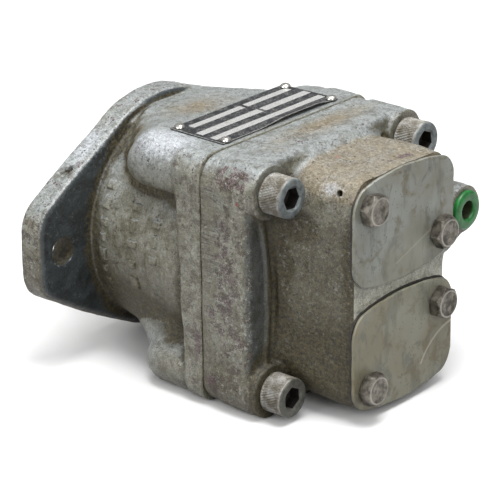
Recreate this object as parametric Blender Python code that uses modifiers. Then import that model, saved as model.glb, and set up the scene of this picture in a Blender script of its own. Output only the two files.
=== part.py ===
"""Internal gear pump with a two-bolt mounting flange and two ports in its rear cover.

Every number below is in millimetres, and the helpers scale it to metres with MM. The pump
frame has X along the drive shaft, from the mounting face (x = 0) to the ports, and Z up. Its
origin is on the shaft's axis. One empty carries that frame and stands the pump on z = 0.
"""

import math

import bmesh
import bpy
import numpy as np
from mathutils import Matrix

MM = 0.001
GAP = 0.3  # left between pieces that touch
ROUND = 36  # sides of a large round shape
MEDIUM = 24  # sides of a bush, a seal or a port
SMALL_ROUND = 16  # sides of a screw, hole or boss
FINE = 10  # sides of a pin or a small hole
ALONG_SHAFT = (math.pi / 2, 0.0, math.pi / 2)  # turns a shape's Z to X, X to Y and Y to Z

# Mounting flange, SAE J744 size B, two bolts
FLANGE_THICKNESS = 12.7
FLANGE_DISC_RADIUS = 61.8
EAR_CORNER_RADIUS = 16.0
EAR_CORNER_Y = 72.0
EAR_CORNER_Z = 10.4
MOUNT_HOLE_Y = 73.0
MOUNT_HOLE_RADIUS = 7.15
PILOT_RADIUS = 50.8
PILOT_LENGTH = 9.7

# Housing casting behind the flange
BARREL_FRONT_RADIUS = 53.5
BARREL_REAR_RADIUS = 58.5
BARREL_SWELL = ((64.0, BARREL_REAR_RADIUS), (40.0, 57.0), (24.0, 55.0), (16.0, BARREL_FRONT_RADIUS))
BARREL_END_X = 80.0
BLOCK_HALF = 62.0
BLOCK_CORNER = 10.0
BLOCK_FRONT = 73.7
PARTING_X = 90.5
BOSS_RADIUS = 12.3
BOSS_NOSE_X = 42.0
PAD_FRONT = 43.0
PAD_HALF_WIDTH = 52.0
PAD_UNDERSIDE = 30.0
FLANGE_EDGE = 1.8  # rounding of the cast edges
BLOCK_EDGE = 2.0
PAD_EDGE = 5.0
COVER_EDGE = 3.0

# Rear cover
COVER_FRONT = PARTING_X + GAP
COVER_HALF = 61.5
COVER_CORNER = 13.0
COVER_RIM_X = 118.5
SEAT_X = 122.8
PORT_FACE_X = 158.5
PORT_PITCH = 62.0
PORT_BORE = 12.7
BOLT_PITCH_Y = 52.4  # SAE code 61, 1 inch
BOLT_PITCH_Z = 26.2
DRAIN_Y = 52.0
DRAIN_Z = 19.2
DRAIN_RADIUS = 11.9
DRAIN_FACE_X = 156.5
DRAIN_BORE = 7.6
DRAIN_BORE_FLOOR = 138.0
DRAIN_WEB_RADIUS = 11.0
DRAIN_WEB_FOOT = (38.5, 11.5)
GALLERY_RADIUS = 2.5
GALLERY_START = (113.5, 0.0, 0.0)
PORT_FLOOR_X = 112.0
PASSAGE_RADIUS = 8.5
PASSAGE_Z = 25.5
KIDNEY_OUTER = 32.0
KIDNEY_INNER = 19.5
KIDNEY_ENDS = (52, 118)  # degrees
VENT_RADIUS = 1.3
VENT_PLACE = (150.0, -31.5, 49.5)
VENT_TILT = math.radians(125)

# Cover screws, 1/2 inch socket head, on a square
SCREW_PITCH = 98.4
SCREW_RADIUS = 6.2
SCREW_TIP_X = 70.0
SCREW_HEAD_RADIUS = 9.525
SCREW_HEAD = 12.5
SOCKET_FLATS = 9.53
SOCKET_DEPTH = 6.5
SCREW_CLEARANCE = 0.7
SPOT_FACE_CLEARANCE = 1.6

# Blanking plates and their 3/8 inch hex bolts
PLATE_HALF_WIDTH = 37.0
PLATE_HALF_HEIGHT = 27.3
PLATE_BOW_RADIUS = 130.0
PLATE_CORNER = 9.0
PLATE_THICKNESS = 1.6
GASKET_THICKNESS = 0.9
BOLT_RADIUS = 4.76
BOLT_FLATS = 14.29
BOLT_HEAD = 6.0
BOLT_TIP_X = 139.0

# Name plate on the top pad
NAME_PLATE_X = 72.2
NAME_PLATE_LENGTH = 36.0
NAME_PLATE_WIDTH = 84.0
NAME_PLATE_THICKNESS = 0.7
DRIVE_SCREW_PITCH_X = 28.8
DRIVE_SCREW_PITCH_Y = 76.5
DRIVE_SCREW_RADIUS = 1.25
DRIVE_HOLE_RADIUS = 1.6
PLATE_LIFT = 0.2  # between the pad, the name plate and the screws' heads

# Gear set
MODULE = 3.25
PINION_TEETH = 13
RING_TEETH = 19
PRESSURE_ANGLE = math.radians(20)
ADDENDUM = 0.95 * MODULE
DEDENDUM = 1.2 * MODULE
BACKLASH = 0.25
TOOTH_TOLERANCE = 0.06
GEAR_OFFSET = MODULE * (RING_TEETH - PINION_TEETH) / 2
PINION_PITCH_RADIUS = MODULE * PINION_TEETH / 2
RING_PITCH_RADIUS = MODULE * RING_TEETH / 2
GEAR_BORE = 41.3
GEAR_FRONT = 42.6
GEAR_REAR = 78.3
BORE_FLOOR = 34.0
CRESCENT_PIN_Y = 30.9
CRESCENT_PIN_RADIUS = 2.5

# Shaft, SAE B parallel keyed, and its bushes
SHAFT_LENGTH = 41.3
SHAFT_END_X = 114.0
SHAFT_SHOULDER_X = -8.0
GEAR_SEAT_FRONT = 42.2
GEAR_SEAT_REAR = 80.5
SHAFT_RADIUS = 11.11
FRONT_JOURNAL = 12.5
GEAR_SEAT = 12.0
REAR_JOURNAL = 11.0
FRONT_BUSH_BORE = 16.3
REAR_BUSH_BORE = 15.3
KEY_SIZE = 6.35
KEY_FRONT = -39.0
KEY_REAR = -14.0
PINION_KEY_SIZE = 6.0
PINION_KEY_FRONT = 46.3
PINION_KEY_REAR = 75.7
FRONT_BUSH_X = 4.7
REAR_BUSH_FLOOR = 116.0
SEAL_BORE = 19.05
SEAL_FLOOR = 0.5
SEAL_RELIEF = 14.0
SEAL_LENGTH = 6.8
CIRCLIP_GROOVE = 20.6
CIRCLIP_INNER = 16.6
CIRCLIP_FRONT = -9.1
CIRCLIP_REAR = -7.3
CIRCLIP_THICKNESS = 1.2

O_RING_RADIUS = 46.0
O_RING_SECTION = 1.0
O_RING_GROOVE_X = 88.0
O_RING_GROOVE_HALF = 2.0
DOWEL_RADIUS = 3.0
DOWEL_FRONT = 82.0
DOWEL_REAR = 99.0
DOWELS = ((-51.0, 0.0), (10.0, -55.0))

GASKET_X = PORT_FACE_X + GAP
PLATE_X = GASKET_X + GASKET_THICKNESS + GAP
BOLT_HEAD_X = PLATE_X + PLATE_THICKNESS + GAP
REAR_END = BOLT_HEAD_X + BOLT_HEAD
BEYOND = 70.0  # outside every casting, for the cutters


# Scene and materials


def clear_scene():
    for obj in list(bpy.data.objects):
        bpy.data.objects.remove(obj, do_unlink=True)


def make_collection(name, parent):
    collection = bpy.data.collections.new(name)
    parent.children.link(collection)
    return collection


def make_material(name, colour, roughness, metallic):
    material = bpy.data.materials.new(name)
    material.use_nodes = True
    shader = material.node_tree.nodes["Principled BSDF"]
    shader.inputs["Base Color"].default_value = (*colour, 1.0)
    shader.inputs["Roughness"].default_value = roughness
    shader.inputs["Metallic"].default_value = metallic
    material.diffuse_color = (*colour, 1.0)
    return material


clear_scene()
PARTS = make_collection("hydraulic_gear_pump", bpy.context.scene.collection)
CUTTERS = make_collection("cutters", bpy.context.scene.collection)

FRAME = bpy.data.objects.new("pump_frame", None)
FRAME.location = ((SHAFT_LENGTH - REAR_END) / 2 * MM, 0.0, BLOCK_HALF * MM)
PARTS.objects.link(FRAME)

CAST_IRON = make_material("painted_cast_iron", (0.36, 0.36, 0.33), 0.55, 0.2)
COVER_IRON = make_material("painted_cover_iron", (0.33, 0.32, 0.28), 0.6, 0.2)
SCREW_STEEL = make_material("socket_screw_steel", (0.3, 0.28, 0.26), 0.45, 0.9)
BOLT_STEEL = make_material("dark_bolt_steel", (0.16, 0.15, 0.14), 0.4, 0.9)
PLATE_STEEL = make_material("painted_plate_steel", (0.4, 0.41, 0.36), 0.5, 0.3)
NAME_BLACK = make_material("name_plate_black", (0.05, 0.05, 0.05), 0.4, 0.2)
BRIGHT_STEEL = make_material("bright_steel", (0.65, 0.65, 0.63), 0.2, 1.0)
GROUND_STEEL = make_material("ground_steel", (0.5, 0.5, 0.5), 0.25, 1.0)
GEAR_STEEL = make_material("gear_steel", (0.42, 0.42, 0.43), 0.3, 1.0)
BRONZE = make_material("bearing_bronze", (0.55, 0.36, 0.16), 0.35, 1.0)
RUBBER = make_material("black_rubber", (0.03, 0.03, 0.03), 0.8, 0.0)
GREEN_PLASTIC = make_material("green_plastic", (0.02, 0.32, 0.1), 0.4, 0.0)


# Outlines in the YZ plane


def arc(cy, cz, radius, start, end, steps):
    """Points of an arc about (cy, cz), from the start angle to the end angle in degrees."""
    angles = [math.radians(start + (end - start) * i / steps) for i in range(steps + 1)]
    return [(cy + radius * math.cos(a), cz + radius * math.sin(a)) for a in angles]


def circle(cy, cz, radius, sides):
    return arc(cy, cz, radius, 0, 360, sides)[:-1]


def rounded_rectangle(half_y, half_z, radius, steps=5):
    points = []
    for side_y, side_z, start in ((1, 1, 0), (-1, 1, 90), (-1, -1, 180), (1, -1, 270)):
        centre_y = side_y * (half_y - radius)
        centre_z = side_z * (half_z - radius)
        points += arc(centre_y, centre_z, radius, start, start + 90, steps)
    return points


def flange_outline():
    """A central disc joined to two ears by straight tangents."""
    reach = math.hypot(EAR_CORNER_Y, EAR_CORNER_Z)
    tilt = math.acos((FLANGE_DISC_RADIUS - EAR_CORNER_RADIUS) / reach)
    tangent = math.degrees(tilt + math.atan2(EAR_CORNER_Z, EAR_CORNER_Y))
    ear = (EAR_CORNER_RADIUS, 5)
    disc = (0, 0, FLANGE_DISC_RADIUS)
    points = arc(EAR_CORNER_Y, EAR_CORNER_Z, ear[0], 0, tangent, ear[1])
    points += arc(*disc, tangent, 180 - tangent, 10)
    points += arc(-EAR_CORNER_Y, EAR_CORNER_Z, ear[0], 180 - tangent, 180, ear[1])
    points += arc(-EAR_CORNER_Y, -EAR_CORNER_Z, ear[0], 180, 180 + tangent, ear[1])
    points += arc(*disc, 180 + tangent, 360 - tangent, 10)
    points += arc(EAR_CORNER_Y, -EAR_CORNER_Z, ear[0], 360 - tangent, 360, ear[1])
    return points


def plate_outline(inset):
    """A port plate: straight sides, with the top and bottom edges bowed out."""
    corner = PLATE_CORNER - inset
    bow = PLATE_BOW_RADIUS - inset
    bow_centre = PLATE_HALF_HEIGHT - PLATE_BOW_RADIUS
    corner_y = PLATE_HALF_WIDTH - PLATE_CORNER
    corner_z = bow_centre + math.sqrt((bow - corner) ** 2 - corner_y**2)
    meet = math.degrees(math.atan2(corner_z - bow_centre, corner_y))
    upper = arc(corner_y, corner_z, corner, 0, meet, 4)
    upper += arc(0, bow_centre, bow, meet, 180 - meet, 8)[1:-1]
    upper += arc(-corner_y, corner_z, corner, 180 - meet, 180, 4)
    return upper + [(-y, -z) for y, z in upper]


def kidney_outline(side):
    """The curved window that joins one port to the gear chambers."""
    start, end = KIDNEY_ENDS
    outer = arc(0, 0, KIDNEY_OUTER, start, end, 8)
    inner = arc(0, 0, KIDNEY_INNER, end, start, 8)
    return [(y, side * z) for y, z in outer + inner]


def drain_web_outline():
    """Two equal circles and their common tangents, from the drain boss to the port block."""
    foot_y, foot_z = DRAIN_WEB_FOOT
    tilt = math.degrees(math.atan2(DRAIN_Z - foot_z, DRAIN_Y - foot_y))
    upper = arc(DRAIN_Y, DRAIN_Z, DRAIN_WEB_RADIUS, tilt - 90, tilt + 90, 8)
    lower = arc(foot_y, foot_z, DRAIN_WEB_RADIUS, tilt + 90, tilt + 270, 8)
    return upper + lower


def crescent_outline():
    inner_radius = PINION_PITCH_RADIUS + ADDENDUM + GAP
    outer_radius = RING_PITCH_RADIUS - ADDENDUM - GAP
    outer = arc(GEAR_OFFSET, 0, outer_radius, -86, 86, 16)
    inner = arc(0, 0, inner_radius, 68, -68, 14)
    return outer + inner


# Gear teeth


def tooth_side(tooth_thickness, extra=0.0):
    """One flank of a pinion tooth as (radius, half angle) pairs, from its root to its tip."""
    base_radius = PINION_PITCH_RADIUS * math.cos(PRESSURE_ANGLE)
    involute = math.tan(PRESSURE_ANGLE) - PRESSURE_ANGLE
    half_at_pitch = tooth_thickness / 2 / PINION_PITCH_RADIUS
    tip_radius = PINION_PITCH_RADIUS + ADDENDUM + extra
    root_radius = PINION_PITCH_RADIUS - DEDENDUM
    side = [(root_radius, half_at_pitch + involute + 0.02)]
    for i in range(5):
        radius = base_radius + (tip_radius - base_radius) * i / 4
        roll = math.acos(base_radius / max(radius, base_radius))
        side.append((radius, half_at_pitch + involute - (math.tan(roll) - roll)))
    return side


def pinion_outline():
    """Closed outline of the pinion, with a tooth centred on the mesh point at 180 degrees."""
    thickness = math.pi * MODULE / 2 - BACKLASH
    side = tooth_side(thickness)
    points = []
    for tooth in range(PINION_TEETH):
        centre = math.pi + math.tau * tooth / PINION_TEETH
        flank = [(r, centre - a) for r, a in side] + [(r, centre + a) for r, a in side[::-1]]
        points += [(r * math.cos(a), r * math.sin(a)) for r, a in flank]
    return points


def swept_pinion():
    """Polar points, about the ring's centre, that one pinion tooth covers as the pair rolls."""
    side = tooth_side(math.pi * MODULE / 2 + BACKLASH, extra=GAP)
    radii = np.interp(np.linspace(0, 5, 120), range(6), [r for r, _ in side])
    halves = np.interp(np.linspace(0, 5, 120), range(6), [a for _, a in side])
    tip = np.linspace(-halves[-1], halves[-1], 20)
    radius = np.concatenate([radii, radii, np.full(20, radii[-1])])
    angle = np.concatenate([halves, -halves, tip]) + math.pi
    turn = np.linspace(0, math.tau, 3000, endpoint=False)[:, None]
    y = radius * np.cos(angle + turn) - GEAR_OFFSET
    z = radius * np.sin(angle + turn)
    about_ring = np.arctan2(z, y) - turn * PINION_TEETH / RING_TEETH
    return np.hypot(y, z).ravel(), about_ring.ravel()


def thin_out(points, tolerance):
    """The fewest of the points that stay within the tolerance of the line through them all."""
    (y0, z0), (y1, z1) = points[0], points[-1]
    length = math.hypot(y1 - y0, z1 - z0)
    off = [abs((y1 - y0) * (z - z0) - (z1 - z0) * (y - y0)) / length for y, z in points]
    worst = max(range(len(points)), key=off.__getitem__)
    if off[worst] < tolerance:
        return [points[0], points[-1]]
    return thin_out(points[: worst + 1], tolerance)[:-1] + thin_out(points[worst:], tolerance)


def ring_teeth_outline():
    """The ring's inner outline: its tip circle, opened wherever the rolling pinion reaches."""
    samples = 64
    pitch = math.tau / RING_TEETH
    radius, angle = swept_pinion()
    slot = np.round((angle % pitch) / pitch * samples).astype(int) % samples
    reach = np.full(samples, RING_PITCH_RADIUS - ADDENDUM)
    np.maximum.at(reach, slot, radius)
    start = int(np.argmin(reach))
    steps = range(start, start + samples + 1)
    turns = [(reach[i % samples], pitch * i / samples) for i in steps]
    one_tooth = thin_out([(r * math.cos(a), r * math.sin(a)) for r, a in turns], TOOTH_TOLERANCE)
    polar = [(math.hypot(y, z), math.atan2(z, y)) for y, z in one_tooth[:-1]]
    outline = [(r, a + pitch * tooth) for tooth in range(RING_TEETH) for r, a in polar]
    return [(r * math.cos(a), r * math.sin(a)) for r, a in outline]


# Shapes


def add_object(name, mesh, location, rotation):
    obj = bpy.data.objects.new(name, mesh)
    obj.location = [value * MM for value in location]
    obj.rotation_euler = rotation
    obj.parent = FRAME
    bpy.context.scene.collection.objects.link(obj)
    return obj


def shade_round(mesh):
    mesh.shade_smooth()
    mesh.set_sharp_from_angle(angle=math.radians(35))


def rod(name, start, end, radius, y=0.0, z=0.0, sides=SMALL_ROUND, end_radius=None):
    """A cylinder, or a cone, along X."""
    mesh = bpy.data.meshes.new(name)
    work = bmesh.new()
    bmesh.ops.create_cone(
        work,
        cap_ends=True,
        segments=sides,
        radius1=radius * MM,
        radius2=(radius if end_radius is None else end_radius) * MM,
        depth=(end - start) * MM,
    )
    work.to_mesh(mesh)
    work.free()
    if sides > 6:
        shade_round(mesh)
    return add_object(name, mesh, ((start + end) / 2, y, z), ALONG_SHAFT)


def box(name, x_range, y_range, z_range):
    ranges = (x_range, y_range, z_range)
    size = [(high - low) * MM for low, high in ranges]
    mesh = bpy.data.meshes.new(name)
    work = bmesh.new()
    bmesh.ops.create_cube(work, size=1.0, matrix=Matrix.Diagonal((*size, 1.0)))
    work.to_mesh(mesh)
    work.free()
    return add_object(name, mesh, [(low + high) / 2 for low, high in ranges], (0, 0, 0))


def prism(name, outline, start, end, holes=(), y=0.0):
    """A flat outline in the YZ plane, thickened along X from start to end."""
    curve = bpy.data.curves.new(name, "CURVE")
    curve.dimensions = "2D"
    curve.fill_mode = "BOTH"
    curve.extrude = (end - start) / 2 * MM
    for loop in (outline, *holes):
        spline = curve.splines.new("POLY")
        spline.points.add(len(loop) - 1)
        for point, (loop_y, loop_z) in zip(spline.points, loop):
            point.co = (loop_y * MM, loop_z * MM, 0.0, 1.0)
        spline.use_cyclic_u = True
    drawn = bpy.data.objects.new(name + "_outline", curve)
    bpy.context.scene.collection.objects.link(drawn)
    graph = bpy.context.evaluated_depsgraph_get()
    mesh = bpy.data.meshes.new_from_object(drawn.evaluated_get(graph))
    bpy.data.objects.remove(drawn, do_unlink=True)
    bpy.data.curves.remove(curve)
    mesh.name = name
    work = bmesh.new()
    work.from_mesh(mesh)
    bmesh.ops.remove_doubles(work, verts=work.verts, dist=1e-6)
    bmesh.ops.recalc_face_normals(work, faces=work.faces)
    work.to_mesh(mesh)
    work.free()
    return add_object(name, mesh, ((start + end) / 2, y, 0.0), ALONG_SHAFT)


def turned(name, profile, y=0.0, z=0.0, sides=ROUND, upright=False):
    """(along, radius) points turned about a line along X, or along Z where upright.

    The points run down the outer side, from the high end to the low end. A profile that
    starts off the axis is closed into a ring.
    """
    count = len(profile)
    closed = profile[0][1] > 0
    mesh = bpy.data.meshes.new(name)
    points = [(radius * MM, 0.0, along * MM) for along, radius in profile]
    edges = [(i, (i + 1) % count) for i in range(count if closed else count - 1)]
    mesh.from_pydata(points, edges, [])
    obj = add_object(name, mesh, (0.0, y, z), (0, 0, 0) if upright else ALONG_SHAFT)
    screw = obj.modifiers.new("Turn", "SCREW")
    screw.axis = "Z"
    screw.steps = sides
    screw.render_steps = sides
    screw.use_merge_vertices = True
    screw.merge_threshold = 0.00001
    return obj


def loft(name, sections):
    """A skin through (x, outline) sections whose outlines have the same number of points."""
    mesh = bpy.data.meshes.new(name)
    work = bmesh.new()
    rings = []
    for x, outline in sections:
        rings.append([work.verts.new((x * MM, y * MM, z * MM)) for y, z in outline])
    for low, high in zip(rings, rings[1:]):
        for i in range(len(low)):
            j = (i + 1) % len(low)
            work.faces.new((low[i], low[j], high[j], high[i]))
    work.faces.new(rings[0][::-1])
    work.faces.new(rings[-1])
    bmesh.ops.recalc_face_normals(work, faces=work.faces)
    work.to_mesh(mesh)
    work.free()
    shade_round(mesh)
    return add_object(name, mesh, (0, 0, 0), (0, 0, 0))


def soften(obj, width, segments=2):
    bevel = obj.modifiers.new("Bevel", "BEVEL")
    bevel.width = width * MM
    bevel.segments = segments
    bevel.limit_method = "ANGLE"
    bevel.angle_limit = math.radians(40)


def combine(obj, operation, helpers):
    """A Boolean with every helper. The helpers go to the cutters and don't render."""
    group = make_collection(f"{obj.name}_{operation.lower()}", CUTTERS)
    for helper in helpers:
        bpy.context.scene.collection.objects.unlink(helper)
        group.objects.link(helper)
        helper.hide_render = True
        helper.display_type = "WIRE"
    boolean = obj.modifiers.new(operation.title(), "BOOLEAN")
    boolean.operation = operation
    boolean.operand_type = "COLLECTION"
    boolean.collection = group
    boolean.solver = "EXACT"


def finish(obj, material):
    """Gives a finished part its material and its place in the parts' collection."""
    obj.data.materials.clear()
    obj.data.materials.append(material)
    bpy.context.scene.collection.objects.unlink(obj)
    PARTS.objects.link(obj)


def corners(pitch_y, pitch_z):
    return [(sy * pitch_y / 2, sz * pitch_z / 2) for sz in (1, -1) for sy in (-1, 1)]


# Castings


def housing():
    """The flange, barrel and square rear block, cast in one piece."""
    body = prism("housing", flange_outline(), 0.0, FLANGE_THICKNESS)
    soften(body, FLANGE_EDGE)
    rear = PARTING_X + 5.0
    buried = FLANGE_THICKNESS - 3.0
    barrel_profile = [
        (BARREL_END_X, 0.0),
        (BARREL_END_X, BARREL_REAR_RADIUS),
        *BARREL_SWELL,
        (buried, BARREL_FRONT_RADIUS + 2.0),
        (buried, 0.0),
    ]
    square = rounded_rectangle(BLOCK_HALF, BLOCK_HALF, BLOCK_CORNER)
    block = prism("block", square, BLOCK_FRONT, rear)
    soften(block, BLOCK_EDGE)
    pad_width = (-PAD_HALF_WIDTH, PAD_HALF_WIDTH)
    pad = box("pad", (PAD_FRONT, rear - 8.0), pad_width, (PAD_UNDERSIDE, BLOCK_HALF))
    soften(pad, PAD_EDGE)
    nose = [
        (BARREL_END_X, 0.0),
        (BARREL_END_X, BOSS_RADIUS),
        (BOSS_NOSE_X + 10.0, BOSS_RADIUS),
        (BOSS_NOSE_X + 4.5, 0.84 * BOSS_RADIUS),
        (BOSS_NOSE_X + 1.2, BOSS_RADIUS / 2),
        (BOSS_NOSE_X, 0.0),
    ]
    bosses = [turned("boss", nose, y, z, SMALL_ROUND) for y, z in corners(SCREW_PITCH, SCREW_PITCH)]
    pilot_profile = [
        (4.0, 0.0),
        (4.0, PILOT_RADIUS),
        (1.0 - PILOT_LENGTH, PILOT_RADIUS),
        (-PILOT_LENGTH, PILOT_RADIUS - 1.0),
        (-PILOT_LENGTH, 0.0),
    ]
    pilot = turned("pilot", pilot_profile)
    barrel = turned("barrel", barrel_profile)
    combine(body, "UNION", [barrel, block, pad, pilot, *bosses])
    combine(body, "DIFFERENCE", housing_cutters(rear))
    finish(body, CAST_IRON)


def housing_cutters(rear):
    far = rear + 5.0
    shaft_line = [
        (BORE_FLOOR + 2.0, 0.0),
        (BORE_FLOOR + 2.0, FRONT_BUSH_BORE),
        (FRONT_BUSH_X, FRONT_BUSH_BORE),
        (FRONT_BUSH_X, SEAL_RELIEF),
        (SEAL_FLOOR, SEAL_RELIEF),
        (SEAL_FLOOR, SEAL_BORE),
        (CIRCLIP_REAR, SEAL_BORE),
        (CIRCLIP_REAR, CIRCLIP_GROOVE),
        (CIRCLIP_FRONT, CIRCLIP_GROOVE),
        (CIRCLIP_FRONT, SEAL_BORE),
        (-PILOT_LENGTH - 5.0, SEAL_BORE),
        (-PILOT_LENGTH - 5.0, 0.0),
    ]
    outer = O_RING_RADIUS + O_RING_GROOVE_HALF
    inner = O_RING_RADIUS - O_RING_GROOVE_HALF
    groove = ((far, outer), (O_RING_GROOVE_X, outer), (O_RING_GROOVE_X, inner), (far, inner))
    cutters = [
        box("parting_cut", (PARTING_X, far), (-BEYOND, BEYOND), (-BEYOND, BEYOND)),
        rod("gear_bore", BORE_FLOOR, far, GEAR_BORE, y=GEAR_OFFSET, sides=ROUND),
        turned("shaft_line_bore", shaft_line),
        turned("o_ring_groove", groove, y=GEAR_OFFSET),
    ]
    pin_hole = CRESCENT_PIN_RADIUS + GAP
    cutters.append(rod("crescent_pin_hole", 29.0, BORE_FLOOR + 2.0, pin_hole, CRESCENT_PIN_Y, 0.0, FINE))
    for side in (-1, 1):
        cutters.append(rod("mount_hole", -3.0, 16.0, MOUNT_HOLE_RADIUS, side * MOUNT_HOLE_Y, 0.0, MEDIUM))
    for y, z in corners(SCREW_PITCH, SCREW_PITCH):
        cutters.append(rod("screw_thread", SCREW_TIP_X - 4.0, far, SCREW_RADIUS + GAP, y, z))
    for y, z in DOWELS:
        cutters.append(rod("dowel_hole", DOWEL_FRONT, far, DOWEL_RADIUS + GAP, y, z, FINE))
    for x, y in corners(DRIVE_SCREW_PITCH_X, DRIVE_SCREW_PITCH_Y):
        hole = rod("drive_hole", -4.5, 4.5, DRIVE_HOLE_RADIUS, sides=FINE)
        hole.rotation_euler = (0, 0, 0)
        hole.location = ((NAME_PLATE_X + x) * MM, y * MM, (BLOCK_HALF - 1.5) * MM)
        cutters.append(hole)
    return cutters


def port_block():
    """The block that carries the ports: round where it leaves the rim, narrow at the back."""
    shape = (
        (PORT_FLOOR_X, 47.0, 58.5, 36.0),
        (119.5, 46.0, 58.2, 33.0),
        (126.0, 43.0, 57.8, 26.0),
        (136.0, 39.0, 57.2, 18.0),
        (147.0, 35.3, 56.6, 12.0),
        (PORT_FACE_X, 33.5, 56.0, 10.0),
    )
    return loft("port_block", [(x, rounded_rectangle(w, h, r, 5)) for x, w, h, r in shape])


def rear_cover():
    """The square cover with the two ports, the case drain and the screw seats."""
    square = rounded_rectangle(COVER_HALF, COVER_HALF, COVER_CORNER)
    cover = prism("rear_cover", square, COVER_FRONT - 5.0, COVER_RIM_X)
    soften(cover, COVER_EDGE)
    seat = [
        (SEAT_X, 0.0),
        (SEAT_X, BOSS_RADIUS - 1.0),
        (SEAT_X - 1.0, BOSS_RADIUS),
        (100.0, BOSS_RADIUS),
        (100.0, 0.0),
    ]
    seats = [turned("seat", seat, y, z, SMALL_ROUND) for y, z in corners(SCREW_PITCH, SCREW_PITCH)]
    drain_profile = [
        (DRAIN_FACE_X, 0.0),
        (DRAIN_FACE_X, DRAIN_RADIUS - 0.8),
        (DRAIN_FACE_X - 0.8, DRAIN_RADIUS),
        (PORT_FLOOR_X, DRAIN_RADIUS),
        (PORT_FLOOR_X, 0.0),
    ]
    drain = turned("drain_boss", drain_profile, DRAIN_Y, DRAIN_Z, SMALL_ROUND)
    web = prism("drain_web", drain_web_outline(), PORT_FLOOR_X, DRAIN_FACE_X - 1.5)
    combine(cover, "UNION", [port_block(), drain, web, *seats])
    combine(cover, "DIFFERENCE", cover_cutters())
    finish(cover, COVER_IRON)


def cover_cutters():
    front = COVER_FRONT - 8.0
    back = PORT_FACE_X + 6.0
    cutters = [
        box("face_cut", (front, COVER_FRONT), (-BEYOND, BEYOND), (-BEYOND, BEYOND)),
        rod("rear_bush_bore", front + 3.0, REAR_BUSH_FLOOR, REAR_BUSH_BORE, sides=ROUND),
        rod("drain_bore", DRAIN_BORE_FLOOR, back, DRAIN_BORE, DRAIN_Y, DRAIN_Z),
        vent_hole(),
        drain_gallery(),
    ]
    for y, z in corners(SCREW_PITCH, SCREW_PITCH):
        hole = SCREW_RADIUS + SCREW_CLEARANCE
        spot_face = SCREW_HEAD_RADIUS + SPOT_FACE_CLEARANCE
        cutters.append(rod("screw_hole", front + 1.0, SEAT_X + 4.0, hole, y, z))
        cutters.append(rod("spot_face", SEAT_X, SEAT_X + 25.0, spot_face, y, z))
    for y, z in DOWELS:
        cutters.append(rod("dowel_hole", front + 2.0, DOWEL_REAR, DOWEL_RADIUS + GAP, y, z, FINE))
    for side in (1, -1):
        port_z = side * PORT_PITCH / 2
        cutters.append(rod("port_bore", PORT_FLOOR_X, back, PORT_BORE, 0.0, port_z, MEDIUM))
        reach = PORT_FLOOR_X + 1.0
        cutters.append(rod("port_passage", front + 4.0, reach, PASSAGE_RADIUS, 0.0, side * PASSAGE_Z))
        for y, z in corners(BOLT_PITCH_Y, BOLT_PITCH_Z):
            thread = rod("port_thread", BOLT_TIP_X - 3.0, back + 1.0, BOLT_RADIUS + GAP, y, port_z + z, FINE)
            cutters.append(thread)
    return cutters


def vent_hole():
    """A small drilled hole in the upper shoulder of the port block."""
    hole = rod("vent_hole", -9.0, 9.0, VENT_RADIUS, sides=FINE)
    hole.rotation_euler = (VENT_TILT, 0, 0)
    hole.location = [value * MM for value in VENT_PLACE]
    return hole


def drain_gallery():
    """A slanted drilling from the drain bore to the space behind the rear bush."""
    start = np.array(GALLERY_START)
    end = np.array((DRAIN_BORE_FLOOR + 3.0, DRAIN_Y, DRAIN_Z))
    run = end - start
    length = float(np.linalg.norm(run))
    gallery = rod("drain_gallery", -length / 2, length / 2, GALLERY_RADIUS, sides=FINE)
    pan = math.atan2(run[1], run[0])
    pitch = math.acos(run[2] / length)
    gallery.rotation_euler = (0, pitch, pan)
    gallery.location = [float(value) * MM for value in (start + end) / 2]
    return gallery


# Fasteners and plates


def cover_screw(index, y, z):
    """A 1/2 inch socket head screw, with its head above the cover."""
    base = SEAT_X + GAP
    top = base + SCREW_HEAD
    profile = [
        (top, 0.0),
        (top, SCREW_HEAD_RADIUS - 0.8),
        (top - 0.8, SCREW_HEAD_RADIUS),
        (base, SCREW_HEAD_RADIUS),
        (base, SCREW_RADIUS),
        (SCREW_TIP_X + 1.2, SCREW_RADIUS),
        (SCREW_TIP_X, SCREW_RADIUS - 1.2),
        (SCREW_TIP_X, 0.0),
    ]
    screw = turned(f"cover_screw_{index}", profile, y, z, SMALL_ROUND)
    corner_radius = SOCKET_FLATS / math.sqrt(3)
    socket = rod("socket", top - SOCKET_DEPTH, top + 2.0, corner_radius, y, z, 6)
    combine(screw, "DIFFERENCE", [socket])
    finish(screw, SCREW_STEEL)


def hex_bolt(index, y, z):
    """A 3/8 inch hex bolt that holds a blanking plate."""
    top = BOLT_HEAD_X + BOLT_HEAD
    corner_radius = BOLT_FLATS / math.sqrt(3)
    bolt = rod(f"plate_bolt_{index}", BOLT_HEAD_X, top, corner_radius, y, z, 6)
    chamfer_profile = [
        (top + 0.5, 0.0),
        (top + 0.5, 6.3),
        (top - 1.6, corner_radius + 0.4),
        (BOLT_HEAD_X - 1.0, corner_radius + 0.4),
        (BOLT_HEAD_X - 1.0, 0.0),
    ]
    chamfer = turned("chamfer", chamfer_profile, y, z, SMALL_ROUND)
    combine(bolt, "INTERSECT", [chamfer])
    shank = rod("shank", BOLT_TIP_X, BOLT_HEAD_X + 2.0, BOLT_RADIUS, y, z, FINE)
    combine(bolt, "UNION", [shank])
    finish(bolt, BOLT_STEEL)


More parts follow.
